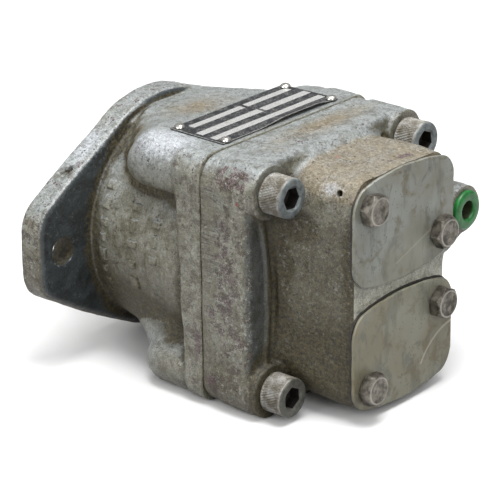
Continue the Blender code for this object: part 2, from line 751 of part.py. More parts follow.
def port_cover_set(prefix, centre_z, bolt_places, first_index):
    """A gasket, a thin plate and two bolts that close one port."""
    holes = [circle(y, z, BOLT_RADIUS + GAP, FINE) for y, z in bolt_places]
    opening = circle(0, 0, PORT_BORE + 0.8, MEDIUM)
    gasket_end = GASKET_X + GASKET_THICKNESS
    gasket = prism(f"{prefix}_port_gasket", plate_outline(1.0), GASKET_X, gasket_end, [*holes, opening])
    plate = prism(f"{prefix}_port_plate", plate_outline(0.0), PLATE_X, PLATE_X + PLATE_THICKNESS, holes)
    for obj in (gasket, plate):
        obj.location.z = centre_z * MM
    finish(gasket, RUBBER)
    finish(plate, PLATE_STEEL)
    for offset, (y, z) in enumerate(bolt_places):
        hex_bolt(first_index + offset, y, centre_z + z)


def drain_plug():
    """A push-in plastic cap plug with a hollow centre."""
    face = DRAIN_FACE_X + GAP
    top = face + 2.4
    profile = [
        (face - 8.0, 0.0),
        (face - 8.0, 4.0),
        (top - 0.6, 4.3),
        (top, 4.9),
        (top, 9.0),
        (top - 0.6, 9.6),
        (face, 9.6),
        (face, 7.25),
        (face - 9.5, 6.8),
        (face - 10.3, 6.0),
        (face - 10.3, 0.0),
    ]
    finish(turned("drain_plug", profile, DRAIN_Y, DRAIN_Z, SMALL_ROUND), GREEN_PLASTIC)


def name_plate():
    low = BLOCK_HALF + PLATE_LIFT
    half_x = NAME_PLATE_LENGTH / 2
    half_y = NAME_PLATE_WIDTH / 2
    plate = box(
        "name_plate",
        (NAME_PLATE_X - half_x, NAME_PLATE_X + half_x),
        (-half_y, half_y),
        (low, low + NAME_PLATE_THICKNESS),
    )
    holes = []
    for x, y in corners(DRIVE_SCREW_PITCH_X, DRIVE_SCREW_PITCH_Y):
        hole = rod("plate_hole", -3.0, 3.0, DRIVE_HOLE_RADIUS, sides=FINE)
        hole.rotation_euler = (0, 0, 0)
        hole.location = ((NAME_PLATE_X + x) * MM, y * MM, low * MM)
        holes.append(hole)
    combine(plate, "DIFFERENCE", holes)
    finish(plate, NAME_BLACK)


def drive_screws():
    """Four round-headed drive screws, turned about upright axes."""
    base = BLOCK_HALF + NAME_PLATE_THICKNESS + 2 * PLATE_LIFT
    shank = DRIVE_SCREW_RADIUS
    dome = [(base + 1.7, 0.0), (base + 1.5, 1.1), (base + 0.9, 2.1), (base, 2.7)]
    profile = [*dome, (base, shank), (base - 4.0, shank), (base - 4.5, 0.8), (base - 4.5, 0.0)]
    for index, (x, y) in enumerate(corners(DRIVE_SCREW_PITCH_X, DRIVE_SCREW_PITCH_Y), 1):
        screw = turned(f"drive_screw_{index}", profile, y, 0.0, FINE, upright=True)
        screw.location.x = (NAME_PLATE_X + x) * MM
        finish(screw, BRIGHT_STEEL)


# Rotating group and what carries it


def drive_shaft():
    nose = 1.0
    profile = [
        (SHAFT_END_X, 0.0),
        (SHAFT_END_X, REAR_JOURNAL - nose),
        (SHAFT_END_X - nose, REAR_JOURNAL),
        (GEAR_SEAT_REAR, REAR_JOURNAL),
        (GEAR_SEAT_REAR, GEAR_SEAT),
        (GEAR_SEAT_FRONT, GEAR_SEAT),
        (GEAR_SEAT_FRONT, FRONT_JOURNAL),
        (SHAFT_SHOULDER_X, FRONT_JOURNAL),
        (SHAFT_SHOULDER_X - 1.3, SHAFT_RADIUS),
        (nose - SHAFT_LENGTH, SHAFT_RADIUS),
        (-SHAFT_LENGTH, SHAFT_RADIUS - nose),
        (-SHAFT_LENGTH, 0.0),
    ]
    shaft = turned("drive_shaft", profile)
    half = KEY_SIZE / 2 + GAP
    outer_length = (KEY_FRONT - GAP, KEY_REAR + GAP)
    outer_slot = box("outer_slot", outer_length, (-half, half), (SHAFT_RADIUS - 3.5, SHAFT_RADIUS + 5))
    half = PINION_KEY_SIZE / 2 + GAP
    inner_length = (PINION_KEY_FRONT - GAP, PINION_KEY_REAR + GAP)
    inner_slot = box("inner_slot", inner_length, (-half, half), (GEAR_SEAT - 3.3, GEAR_SEAT + 5))
    combine(shaft, "DIFFERENCE", [outer_slot, inner_slot])
    finish(shaft, GROUND_STEEL)


def keys():
    half = KEY_SIZE / 2
    low = SHAFT_RADIUS - 3.2
    outer = box("shaft_key", (KEY_FRONT, KEY_REAR), (-half, half), (low, low + KEY_SIZE))
    soften(outer, 0.4, 1)
    finish(outer, GROUND_STEEL)
    half = PINION_KEY_SIZE / 2
    inner_length = (PINION_KEY_FRONT, PINION_KEY_REAR)
    inner = box("pinion_key", inner_length, (-half, half), (GEAR_SEAT - 3.0, GEAR_SEAT + 2.6))
    finish(inner, GROUND_STEEL)


def pinion_gear():
    bore = GEAR_SEAT + GAP
    gear = prism("pinion_gear", pinion_outline(), GEAR_FRONT, GEAR_REAR, [circle(0, 0, bore, MEDIUM)])
    half = PINION_KEY_SIZE / 2 + GAP
    length = (GEAR_FRONT - 2.0, GEAR_REAR + 2.0)
    slot = box("pinion_slot", length, (-half, half), (GEAR_SEAT - 3.0, GEAR_SEAT + 2.9))
    combine(gear, "DIFFERENCE", [slot])
    finish(gear, GEAR_STEEL)


def ring_gear():
    """The internally toothed ring, which turns in the housing's offset bore."""
    outer = circle(0, 0, GEAR_BORE - GAP, ROUND)
    gear = prism("ring_gear", outer, GEAR_FRONT, GEAR_REAR, [ring_teeth_outline()], y=GEAR_OFFSET)
    finish(gear, GEAR_STEEL)


def crescent_filler():
    pin_hole = circle(CRESCENT_PIN_Y, 0, CRESCENT_PIN_RADIUS + GAP, FINE)
    filler = prism("crescent_filler", crescent_outline(), GEAR_FRONT, GEAR_REAR, [pin_hole])
    finish(filler, GROUND_STEEL)
    pin = rod("crescent_pin", 29.5, 89.0, CRESCENT_PIN_RADIUS, CRESCENT_PIN_Y, 0.0, FINE)
    finish(pin, GROUND_STEEL)


def wear_plates():
    """Bronze plates that seal both faces of the gears. The rear one passes the ports."""
    outer = circle(GEAR_OFFSET, 0, GEAR_BORE - GAP, ROUND)
    pin_hole = circle(CRESCENT_PIN_Y, 0, CRESCENT_PIN_RADIUS + GAP, FINE)
    shaft_hole = circle(0, 0, FRONT_JOURNAL + GAP, MEDIUM)
    holes = [pin_hole, shaft_hole]
    windows = [kidney_outline(1), kidney_outline(-1)]
    front = prism("front_wear_plate", outer, BORE_FLOOR + GAP, GEAR_FRONT - GAP, holes)
    rear = prism("rear_wear_plate", outer, GEAR_REAR + GAP, PARTING_X - GAP, holes + windows)
    finish(front, BRONZE)
    finish(rear, BRONZE)


def bush(name, start, end, outer_radius, inner_radius):
    profile = [
        (end, outer_radius - 0.8),
        (end - 0.8, outer_radius),
        (start + 0.8, outer_radius),
        (start, outer_radius - 0.8),
        (start, inner_radius),
        (end, inner_radius),
    ]
    finish(turned(name, profile, sides=MEDIUM), BRONZE)


def bushes():
    bush("front_bush", 5.0, BORE_FLOOR - 0.5, FRONT_BUSH_BORE - GAP, FRONT_JOURNAL + GAP)
    bush("rear_bush", COVER_FRONT + 0.2, 111.0, REAR_BUSH_BORE - GAP, REAR_JOURNAL + GAP)


def shaft_seal():
    """A lip seal, hollow on its oil side."""
    outer = SEAL_BORE - GAP
    lip = FRONT_JOURNAL + GAP
    profile = [
        (SEAL_FLOOR - GAP, outer),
        (-SEAL_LENGTH, outer),
        (-SEAL_LENGTH, lip + 0.8),
        (1.6 - SEAL_LENGTH, lip),
        (3.0 - SEAL_LENGTH, lip + 0.5),
        (2.6 - SEAL_LENGTH, lip + 3.4),
        (SEAL_FLOOR - GAP, lip + 3.8),
    ]
    finish(turned("shaft_seal", profile, sides=MEDIUM), RUBBER)


def retaining_ring():
    """The open ring that keeps the seal in, with its gap at the bottom."""
    outer = arc(0, 0, CIRCLIP_GROOVE - GAP, -70, 250, 20)
    inner = arc(0, 0, CIRCLIP_INNER, 250, -70, 20)
    start = CIRCLIP_FRONT + GAP
    finish(prism("retaining_ring", outer + inner, start, start + CIRCLIP_THICKNESS), BRIGHT_STEEL)


def cover_o_ring():
    centre = PARTING_X - O_RING_SECTION - 0.2
    section = arc(0, 0, O_RING_SECTION, 90, -270, 6)[:-1]
    profile = [(centre + along, O_RING_RADIUS + out) for out, along in section]
    finish(turned("cover_o_ring", profile, y=GEAR_OFFSET), RUBBER)


def dowel_pins():
    for index, (y, z) in enumerate(DOWELS, 1):
        pin = rod(f"dowel_pin_{index}", DOWEL_FRONT + 0.5, DOWEL_REAR - 0.5, DOWEL_RADIUS, y, z, FINE)
        finish(pin, GROUND_STEEL)


def build():
    housing()
    rear_cover()
    for index, (y, z) in enumerate(corners(SCREW_PITCH, SCREW_PITCH), 1):
        cover_screw(index, y, z)
    half_y = BOLT_PITCH_Y / 2
    half_z = BOLT_PITCH_Z / 2
    port_cover_set("upper", PORT_PITCH / 2, ((-half_y, half_z), (half_y, -half_z)), 1)
    port_cover_set("lower", -PORT_PITCH / 2, ((half_y, half_z), (-half_y, -half_z)), 3)
    drain_plug()
    name_plate()
    drive_screws()
    drive_shaft()
    keys()
    pinion_gear()
    ring_gear()
    crescent_filler()
    wear_plates()
    bushes()
    shaft_seal()
    retaining_ring()
    cover_o_ring()
    dowel_pins()


build()
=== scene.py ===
"""Visual model of a used hydraulic gear pump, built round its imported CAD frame.

Shapes are worked out in millimetres in the pump frame: X runs along the shaft from the
mounting face (x = 0) to the ports, and the shaft's axis is y = z = 0. The castings and the
plates are signed distance fields, contoured into meshes.
"""

import math

import bpy
import numpy as np
from mathutils import Matrix, Vector


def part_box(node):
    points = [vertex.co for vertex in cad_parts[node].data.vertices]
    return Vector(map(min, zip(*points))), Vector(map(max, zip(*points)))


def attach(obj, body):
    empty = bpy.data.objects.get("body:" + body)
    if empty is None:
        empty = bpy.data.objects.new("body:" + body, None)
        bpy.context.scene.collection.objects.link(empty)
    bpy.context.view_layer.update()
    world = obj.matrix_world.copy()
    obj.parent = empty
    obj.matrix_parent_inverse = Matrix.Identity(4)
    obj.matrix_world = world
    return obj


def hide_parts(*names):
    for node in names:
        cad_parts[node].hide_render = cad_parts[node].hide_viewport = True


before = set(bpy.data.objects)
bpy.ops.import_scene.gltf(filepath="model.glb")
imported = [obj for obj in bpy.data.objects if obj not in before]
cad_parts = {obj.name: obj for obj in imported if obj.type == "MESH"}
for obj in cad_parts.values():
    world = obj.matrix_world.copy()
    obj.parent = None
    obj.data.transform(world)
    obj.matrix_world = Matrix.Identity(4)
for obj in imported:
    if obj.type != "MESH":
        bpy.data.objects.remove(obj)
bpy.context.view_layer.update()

MM = 0.001
HALF_LENGTH = 63.3
SHAFT_HEIGHT = 62.0
ORIGIN = np.array((-HALF_LENGTH, 0.0, SHAFT_HEIGHT))  # the pump frame's origin in the row frame

PARTING = 90.5
BLOCK_HALF = 62.0
COVER_FRONT = 90.8
COVER_RIM = 118.5
SEAT = 122.8
PORT_FACE = 158.5
PORT_Z = 31.0
SCREW_Y = 49.2
GEAR_OFFSET = 9.75
DRAIN_Y = 52.0
DRAIN_Z = 19.2
DRAIN_FACE = 156.5
BOLT_Y = 26.2
BOLT_Z = 13.1
UPPER_PLATE_DROP = 0.9  # how far the upper plate hangs below its port
LUG = np.array((33.0, -42.5, -36.0))  # a stray lump of iron low on the barrel
PLATE_BACK = 159.75
PLATE_FRONT = 161.35
BOLT_BASE = 161.9
BOLT_TOP = 167.9


# Fields


def smooth_min(a, b, k):
    h = np.clip(0.5 + 0.5 * (b - a) / k, 0.0, 1.0)
    return b + (a - b) * h - k * h * (1.0 - h)


def smooth_max(a, b, k):
    return -smooth_min(-a, -b, k)


def step(value, low, high):
    t = np.clip((value - low) / (high - low), 0.0, 1.0)
    return t * t * (3.0 - 2.0 * t)


def meet(a, b, radius=0.0):
    """The overlap of two fields at right angles, with its corner rounded."""
    a, b = a + radius, b + radius
    outside = np.hypot(np.maximum(a, 0.0), np.maximum(b, 0.0))
    return outside + np.minimum(np.maximum(a, b), 0.0) - radius


def rectangle(y, z, half_y, half_z, radius):
    return meet(np.abs(y) - half_y, np.abs(z) - half_z, radius)


def slab(x, low, high):
    return np.abs(x - (low + high) / 2) - (high - low) / 2


def extrude(flat, x, low, high, radius):
    """A flat field thickened along X, with its edges rounded."""
    return meet(flat, slab(x, low, high), radius)


def disc(y, z, cy, cz, radius):
    return np.hypot(y - cy, z - cz) - radius


def rod(x, y, z, low, high, radius, cy=0.0, cz=0.0, rounding=0.0):
    return extrude(disc(y, z, cy, cz, radius), x, low, high, rounding)


def ball(x, y, z, centre, radius):
    return np.sqrt((x - centre[0]) ** 2 + (y - centre[1]) ** 2 + (z - centre[2]) ** 2) - radius


def capsule(y, z, start, end, radius):
    """A flat field round the segment between two points."""
    along_y, along_z = end[0] - start[0], end[1] - start[1]
    t = ((y - start[0]) * along_y + (z - start[1]) * along_z) / (along_y**2 + along_z**2)
    t = np.clip(t, 0.0, 1.0)
    return np.hypot(y - start[0] - along_y * t, z - start[1] - along_z * t) - radius


def cut(body, *tools, k=0.0):
    for tool in tools:
        body = smooth_max(body, -tool, k) if k else np.maximum(body, -tool)
    return body


def waves(x, y, z, seed):
    """The slow unevenness of a sand casting, in millimetres."""
    s = seed * 1.7
    slow = np.sin(0.17 * x + s) * np.sin(0.21 * y + 2 * s) + np.sin(0.19 * z + 0.11 * x + 3 * s)
    mid = np.sin(0.47 * x + 0.2 * z + s) * np.sin(0.41 * y - s) * np.sin(0.44 * z + 2 * s)
    fine = np.sin(1.1 * x - 0.4 * y + s) * np.sin(0.9 * y + 0.5 * z) * np.sin(1.2 * z - 0.3 * x)
    return 0.16 * slow + 0.14 * mid + 0.07 * fine


def flange_outline(y, z):
    """The hull of the central disc and the four rounded ear corners."""
    flat = None
    for turn in np.linspace(0.0, math.tau, 120, endpoint=False):
        ny, nz = math.cos(turn), math.sin(turn)
        disc_reach = 61.8 - 2.4 * float(step(-nz, 0.3, 0.7))
        reach = max(disc_reach, 16.0 + 72.0 * abs(ny) + 10.4 * abs(nz))
        side = y * ny + z * nz - reach
        flat = side if flat is None else np.maximum(flat, side)
    return flat


def cast_marks(x, y, z):
    """Low raised bars on the barrel's side, in three rows."""
    angle = np.degrees(np.arctan2(z, -y))
    radius = np.hypot(y, z)
    marks = 9.0
    rows = (
        (21.0, 2.0, (31, 22, 12, 4, -5, -13, -21)),
        (42.5, 2.4, (24, 15, 6, -4, -14)),
        (57.5, 2.0, (19, 11, 2)),
    )
    for at, half, angles in rows:
        for i, centre in enumerate(angles):
            off_arc = np.abs(angle - centre) * radius * math.pi / 180 - (1.5 + 1.1 * (i % 3 == 1))
            off_x = np.abs(x - at) - half + 0.8 * (i % 2)
            marks = np.minimum(marks, meet(off_arc, off_x))
    return marks


def housing_field(x, y, z):
    radius = np.hypot(y, z)
    side = np.abs(y)
    flange = extrude(flange_outline(y, z), x, -6.0, 12.9, 3.3)
    places = [8, 16, 24, 40, 51, 52.5, 61, 62.5, 80]
    swell = np.interp(x, places, [54.2, 53.9, 54.8, 56.6, 57.6, 58.0, 58.3, 58.8, 58.8])
    barrel = np.maximum(radius - swell, slab(x, 4.0, 85.0))
    body = smooth_min(flange, barrel, 1.6)
    lumps = np.minimum(ball(x, y, z, (7.0, -61.6, 37.6), 1.9), ball(x, y, z, (3.5, -65.0, 34.2), 1.5))
    body = smooth_min(body, lumps, 1.5)
    # the top runs up from the flange into a pad with square shoulders
    shoulder = rectangle(y, z, 61.2, 62.0, 12.5)
    turn = np.degrees(np.arctan2(z, side))
    rise = step(turn + 16.0 * step(y, 0.0, 12.0), 58.0, 84.0)
    slope = 0.95 + 4.85 * rise
    start = 22.5 - 15.3 * rise
    lift = radius + (z - radius) * rise
    front = (start + slope * (lift - 56.0) - x) / np.sqrt(1.0 + slope**2)
    nose = meet(front, 38.0 - z, 15.0)
    shoulder = smooth_max(smooth_max(shoulder, nose, 7.0), x - 86.0, 2.0)
    body = smooth_min(body, shoulder, 10.0 - 8.0 * rise)
    groove = 1.5 - 1.7 * step(y, -26.0, 4.0)
    undercut = np.maximum(np.hypot(radius - 59.0, x - 14.3) - groove, 34.0 - z)
    body = cut(body, undercut, k=1.0)
    # round noses that carry the lower screws
    foot = rod(x, side, z, 48.0, 86.0, 12.6, SCREW_Y, -SCREW_Y, 12.2)
    web_start, web_length = 28.0, 30.0
    t = np.clip((x - web_start) / web_length, 0.0, 1.0)
    out = 34.0 + 12.0 * t
    off_x = x - web_start - web_length * t
    web = np.sqrt(off_x**2 + (side - out) ** 2 + (z + out) ** 2) - 6.0 - 6.8 * t
    body = smooth_min(body, np.minimum(foot, web), 9.0)
    front = 76.8 - 0.05 * z
    block = rectangle(y, z, BLOCK_HALF, BLOCK_HALF, 10.0)
    block = smooth_max(block, np.maximum(front - x, x - 96.0), 2.2)
    body = smooth_min(body, block, 2.4)
    lug = np.minimum(ball(x, y, z, LUG, 2.3), ball(x, y, z, LUG + np.array((2.5, 1.0, -2.5)), 1.6))
    body = smooth_min(body, lug, 1.2)
    marks = cast_marks(x, y, z)
    near = (x < 60) & (y < 0)
    body = body - 1.1 * np.where(near, 1.0 - step(marks, 0.0, 0.9), 0.0)
    body = body + waves(x, y, z, 1.0) * step(np.abs(z - BLOCK_HALF), 0.0, 1.5)
    # machined faces
    body = smooth_max(body, -x, 0.8)
    body = smooth_max(body, x - PARTING, 0.7)
    body = np.maximum(body, np.abs(z) - BLOCK_HALF)
    pilot = rod(x, y, z, -9.7, 5.0, 50.8, rounding=0.9)
    body = np.minimum(body, pilot)
    bores = [
        rod(x, y, z, 34.0, 99.0, 41.3, GEAR_OFFSET),
        rod(x, y, z, 4.7, 36.0, 16.3),
        rod(x, y, z, 0.5, 6.0, 14.0),
        rod(x, y, z, -15.0, 0.5, 19.05),
        rod(x, y, z, -9.1, -7.3, 20.6),
        rod(x, y, z, 29.0, 36.0, 2.8, 30.9),
        np.maximum(np.abs(np.hypot(y - GEAR_OFFSET, z) - 46.0) - 2.0, 88.0 - x),
        rod(x, side, z, -9.0, 20.0, 7.15, 73.0),
        rod(x, side, np.abs(z), 66.0, 99.0, 6.5, SCREW_Y, SCREW_Y),
        rod(x, y, z, 82.0, 99.0, 3.3, -51.0, 0.0),
        rod(x, y, z, 82.0, 99.0, 3.3, 10.0, -55.0),
    ]
    chamfer = np.maximum(disc(y, z, 0.0, 0.0, 19.05) + x + 8.9, x + 5.0)
    return cut(body, *bores, chamfer)


def cover_field(x, y, z):
    radius = np.hypot(y, z)
    side = np.abs(y)
    height = np.abs(z)
    plate = extrude(rectangle(y, z, 61.5, 61.5, 13.0), x, 80.0, COVER_RIM, 3.2)
    places = [100, 112, 119.5, 126, 136, 147, PORT_FACE]
    width = np.interp(x, places, [46.0, 45.5, 43.4, 41.0, 38.2, 35.6, 33.2])
    top = np.interp(x, places, [59.5, 59.5, 59.0, 58.0, 57.3, 56.8, 56.2])
    corner = np.interp(x, places, [36.0, 34.0, 31.0, 25.0, 17.5, 12.0, 9.5])
    block = np.maximum(rectangle(y, z, width, top, corner), slab(x, 100.0, 168.0))
    ridge = rectangle(x - 114.0, height - 57.0, 6.4, 4.7, 3.0)
    ridge = smooth_max(ridge, side - 50.0, 4.0)
    body = smooth_min(smooth_min(plate, ridge, 1.5), block, 6.0)
    seat = rod(x, side, height, 100.0, SEAT, 12.9, SCREW_Y, SCREW_Y, 0.8)
    body = smooth_min(body, seat, 2.5)
    # a low bead down each side, with a narrow valley inside it
    bow = 0.0028 * (z + 5.0) ** 2
    ends = height - 39.0
    valley = np.maximum(np.hypot(x - 119.9, side - 43.9 - bow) - 1.5, ends)
    body = cut(body, valley, k=1.2)
    bead = np.maximum(np.hypot(x - 118.2, side - 46.8 - bow) - 1.35, ends)
    body = smooth_min(body, bead, 1.8)
    web = capsule(y, z, (DRAIN_Y, DRAIN_Z), (38.5, 11.5), 11.2)
    web = extrude(web, x, 100.0, DRAIN_FACE - 0.6, 2.0)
    body = smooth_min(body, web, 6.0)
    drain = rod(x, y, z, 100.0, DRAIN_FACE, 11.9, DRAIN_Y, DRAIN_Z, 0.9)
    body = smooth_min(body, drain, 1.0)
    body = body + waves(x, y, z, 2.0)
    spot = rod(x, side, height, SEAT, 150.0, 11.3, SCREW_Y, SCREW_Y, 1.2)
    body = cut(body, spot, k=0.8)
    # machined faces and drillings
    body = smooth_max(body, COVER_FRONT - x, 0.7)
    body = smooth_max(body, x - PORT_FACE, 0.8)
    body = np.maximum(body, np.abs(z) - BLOCK_HALF + 0.1)
    body = cut(body, rod(x, y, z, DRAIN_FACE, 170.0, 12.5, DRAIN_Y, DRAIN_Z))
    vent = np.array((-0.819, 0.574))
    off = (y + 31.5) * vent[1] - (z - 49.5) * vent[0]
    depth = (y + 31.5) * vent[0] + (z - 49.5) * vent[1]
    vent_hole = np.maximum(np.hypot(x - 150.0, off) - 1.45, np.abs(depth) - 9.0)
    bores = [
        rod(x, y, z, 80.0, 116.0, 15.3),
        rod(x, y, height, 112.0, 170.0, 12.7, 0.0, PORT_Z),
        rod(x, y, height, 80.0, 114.0, 8.5, 0.0, 25.5),
        rod(x, side, np.abs(height - PORT_Z), 136.0, 170.0, 5.06, BOLT_Y, BOLT_Z),
        rod(x, side, height, 80.0, 130.0, 6.9, SCREW_Y, SCREW_Y),
        rod(x, y, z, 138.0, 170.0, 7.6, DRAIN_Y, DRAIN_Z),
        rod(x, y, z, 80.0, 99.0, 3.3, -51.0, 0.0),
        rod(x, y, z, 80.0, 99.0, 3.3, 10.0, -55.0),
        vent_hole,
    ]
    return cut(body, *bores)


def plate_outline(y, z, inset=0.0):
    """Straight sides, with the top and bottom edges bowed out."""
    bow = np.hypot(y, np.abs(z) + 102.7) - 130.0 + inset
    return meet(bow, np.abs(y) - 37.0 + inset, 9.0)


def bolt_places(lower):
    """Where one plate's bolts stand, the higher bolt first."""
    y = BOLT_Y if lower else -BOLT_Y
    z = -PORT_Z if lower else PORT_Z
    return (y, z + BOLT_Z), (-y, z - BOLT_Z)


def bolt_holes(y, z, lower):
    high, low = (disc(y, z, *place, 5.1) for place in bolt_places(lower))
    return np.minimum(high, low)


def plate_field(lower):
    def field(x, y, z):
        if lower:
            off = z + PORT_Z
            bend = 0.35 * np.sin(0.05 * y + 1.0) * step(np.abs(off), 12.0, 27.0)
        else:
            off = z - PORT_Z + UPPER_PLATE_DROP
            bend = 0.3 * np.sin(0.07 * y) * step(off, 10.0, 27.0)
        flat = plate_outline(y, off) + 0.15 * np.sin(0.31 * y + 0.2 * off) * np.sin(0.27 * off)
        sheet = extrude(flat, x - bend, PLATE_BACK, PLATE_FRONT, 0.45)
        return np.maximum(sheet, -bolt_holes(y, z, lower))

    return field


def gasket_field(lower):
    def field(x, y, z):
        off = z + PORT_Z if lower else z - PORT_Z + UPPER_PLATE_DROP
        inset = -0.5 * step(off, 8.0, 20.0) if lower else 0.4
        flat = plate_outline(y, off, inset) + 0.12 * np.sin(0.9 * y) * np.sin(0.8 * off)
        sheet = extrude(flat, x, PORT_FACE + 0.06, PLATE_BACK - 0.1, 0.2)
        port = disc(y, z, 0.0, -PORT_Z if lower else PORT_Z, 13.5)
        return cut(sheet, bolt_holes(y, z, lower), port)

    return field


def shaft_field(x, y, z):
    radius = np.interp(
        x,
        [-41.4, -41.3, -40.2, -13.0, -9.3, -8.0, 42.1, 42.3, 80.4, 80.6, 113, 114, 114.1],
        [9.8, 10.0, 11.11, 11.11, 11.11, 12.5, 12.5, 12.0, 12.0, 11.0, 11.0, 10.0, 9.9],
    )
    body = np.maximum(np.hypot(y, z) - radius, slab(x, -41.3, 114.0))
    slot = np.maximum(rectangle(x + 26.5, y, 12.9, 3.475, 3.4), 7.61 - z)
    inner = np.maximum(rectangle(x - 61.0, y, 15.0, 3.3, 0.2), 8.7 - z)
    centre = np.maximum(np.hypot(y, z) - np.maximum(0.0, (-34.5 - x) * 0.5), x + 34.5)
    return cut(body, slot, inner, centre)


def snap_ring_field(x, y, z):
    angle = np.abs(np.degrees(np.arctan2(y, -z)))
    ring = np.maximum(np.hypot(y, z) - 20.3, 16.9 - np.hypot(y, z))
    lug = np.minimum(disc(y, z, 5.2, -15.8, 2.9), disc(y, z, -5.2, -15.8, 2.9))
    flat = smooth_min(ring, lug, 1.0)
    flat = np.maximum(flat, (13.0 - angle) * 0.3)
    eyes = np.minimum(disc(y, z, 5.2, -15.6, 1.1), disc(y, z, -5.2, -15.6, 1.1))
    return extrude(np.maximum(flat, -eyes), x, -8.8, -7.6, 0.15)


# Meshes


def gradient(field, points, reach=0.05):
    slope = np.empty_like(points)
    for axis in range(3):
        near, far = points.copy(), points.copy()
        near[:, axis] -= reach
        far[:, axis] += reach
        slope[:, axis] = field(*far.T) - field(*near.T)
    return slope / np.maximum(np.linalg.norm(slope, axis=1, keepdims=True), 1e-9)


def crossings(values, axes, axis, cell):
    """Where the field changes sign along one axis: the points and the four cells round each."""
    strides = np.array((values.shape[1] * values.shape[2], values.shape[2], 1))
    inside = np.moveaxis(values < 0, axis, 0)
    found = np.argwhere(np.moveaxis(inside[:-1] != inside[1:], 0, axis))
    start = found @ strides
    flat = values.ravel()
    low, high = flat[start], flat[start + strides[axis]]
    points = np.stack([axes[n][found[:, n]] for n in range(3)], -1)
    points[:, axis] += cell * low / (low - high)
    b, c = strides[(axis + 1) % 3], strides[(axis + 2) % 3]
    around = np.stack([start - b - c, start - c, start, start - b], -1)
    around[low > 0] = around[low > 0][:, ::-1]
    return points, around


def contour(field, low, high, cell):
    """Dual contouring: one vertex in each cell that the surface crosses, set on its edges."""
    axes = [np.arange(a - 1.37 * cell, b + 1.6 * cell, cell) for a, b in zip(low, high)]
    values = field(*np.ix_(*axes)) + np.zeros([len(a) for a in axes])
    hits = [crossings(values, axes, axis, cell) for axis in range(3)]
    points = np.concatenate([h[0] for h in hits])
    around = np.concatenate([h[1] for h in hits])
    normals = gradient(field, points)
    cells, quads = np.unique(around, return_inverse=True)
    quads = quads.reshape(-1, 4)
    who = quads.ravel()
    p = np.repeat(points, 4, axis=0)
    n = np.repeat(normals, 4, axis=0)
    count = np.bincount(who).astype(float)
    centre = np.stack([np.bincount(who, p[:, k]) for k in range(3)], -1) / count[:, None]
    offset = np.einsum("ij,ij->i", n, p - centre[who])
    pull = np.stack([np.bincount(who, n[:, k] * offset) for k in range(3)], -1)
    square = np.empty((len(cells), 3, 3))
    for i in range(3):
        for j in range(3):
            square[:, i, j] = np.bincount(who, n[:, i] * n[:, j])
    square += np.eye(3) * (0.04 * count)[:, None, None]
    shift = np.linalg.solve(square, pull[..., None])[..., 0]
    corner = np.stack(np.unravel_index(cells, values.shape), -1)
    base = np.stack([axes[k][corner[:, k]] for k in range(3)], -1)
    vertices = np.clip(centre + shift, base - 0.05 * cell, base + 1.05 * cell)
    return vertices, quads


def link(name, data):
    obj = bpy.data.objects.new(name, data)
    bpy.context.scene.collection.objects.link(obj)
    return obj


def smooth(name, mesh, sharp):
    mesh.shade_smooth()
    mesh.set_sharp_from_angle(angle=math.radians(sharp))
    return link(name, mesh)


def make_object(name, vertices, quads, sharp=38.0):
    """A mesh object in the row frame from pump-frame vertices and quads."""
    mesh = bpy.data.meshes.new(name)
    mesh.vertices.add(len(vertices))
    mesh.vertices.foreach_set("co", ((vertices + ORIGIN) * MM).ravel())
    mesh.loops.add(quads.size)
    mesh.loops.foreach_set("vertex_index", quads.ravel().astype(np.int32))
    mesh.polygons.add(len(quads))
    mesh.polygons.foreach_set("loop_start", np.arange(0, quads.size, 4, dtype=np.int32))
    mesh.update(calc_edges=True)
    mesh.validate()
    return smooth(name, mesh, sharp)


def store(obj, name, values):
    layer = obj.data.attributes.new(name, "FLOAT", "POINT")
    layer.data.foreach_set("value", np.clip(values, 0.0, 1.0).astype(np.float32))


def field_piece(name, field, low, high, cell, near=1.6, far=7.0):
    """Contours a field, and stores how hollow and how exposed each vertex is."""
    vertices, quads = contour(field, low, high, cell)
    obj = make_object(name, vertices, quads)
    normals = gradient(field, vertices, 0.3)
    outside = [field(*(vertices + normals * d).T) / d for d in (near, far)]
    store(obj, "crevice", 1.0 - outside[0])
    store(obj, "hollow", 1.0 - outside[1])
    store(obj, "edge", 1.0 + field(*(vertices - normals * near).T) / near)
    return obj, vertices, normals


def ringed(name, rings, slots=None):
    """A closed skin through rings of equal length, with its first and last rings closed."""
    count = len(rings[0])
    vertices = np.concatenate([*rings, [rings[0].mean(0)], [rings[-1].mean(0)]])
    index = np.arange(count)
    after = (index + 1) % count
    slots = slots or [0] * len(rings)
    faces, slot = [], []
    for i in range(len(rings) - 1):
        a, b = i * count, (i + 1) * count
        faces += np.stack([a + index, a + after, b + after, b + index], -1).tolist()
        slot += [slots[i]] * count
    first, last = len(rings) * count, len(rings) * count + 1
    end = (len(rings) - 1) * count
    faces += np.stack([after, index, np.full(count, first)], -1).tolist()
    faces += np.stack([end + index, end + after, np.full(count, last)], -1).tolist()
    slot += [slots[0]] * count + [slots[-1]] * count
    mesh = bpy.data.meshes.new(name)
    mesh.from_pydata(((vertices + ORIGIN) * MM).tolist(), [], faces)
    mesh.polygons.foreach_set("material_index", slot)
    mesh.update()
    return smooth(name, mesh, 38.0)


def lathe_rings(profile, count, y=0.0, z=0.0, turn=0.0):
    """Rings for (x, radius) pairs. A radius is a number or a function of the angle."""
    angles = np.linspace(0.0, math.tau, count, endpoint=False)
    rings = []
    for x, radius in profile:
        r = radius(angles) if callable(radius) else np.full(count, radius)
        a = angles + turn
        rings.append(np.stack([np.full(count, x), y + r * np.cos(a), z + r * np.sin(a)], -1))
    return rings


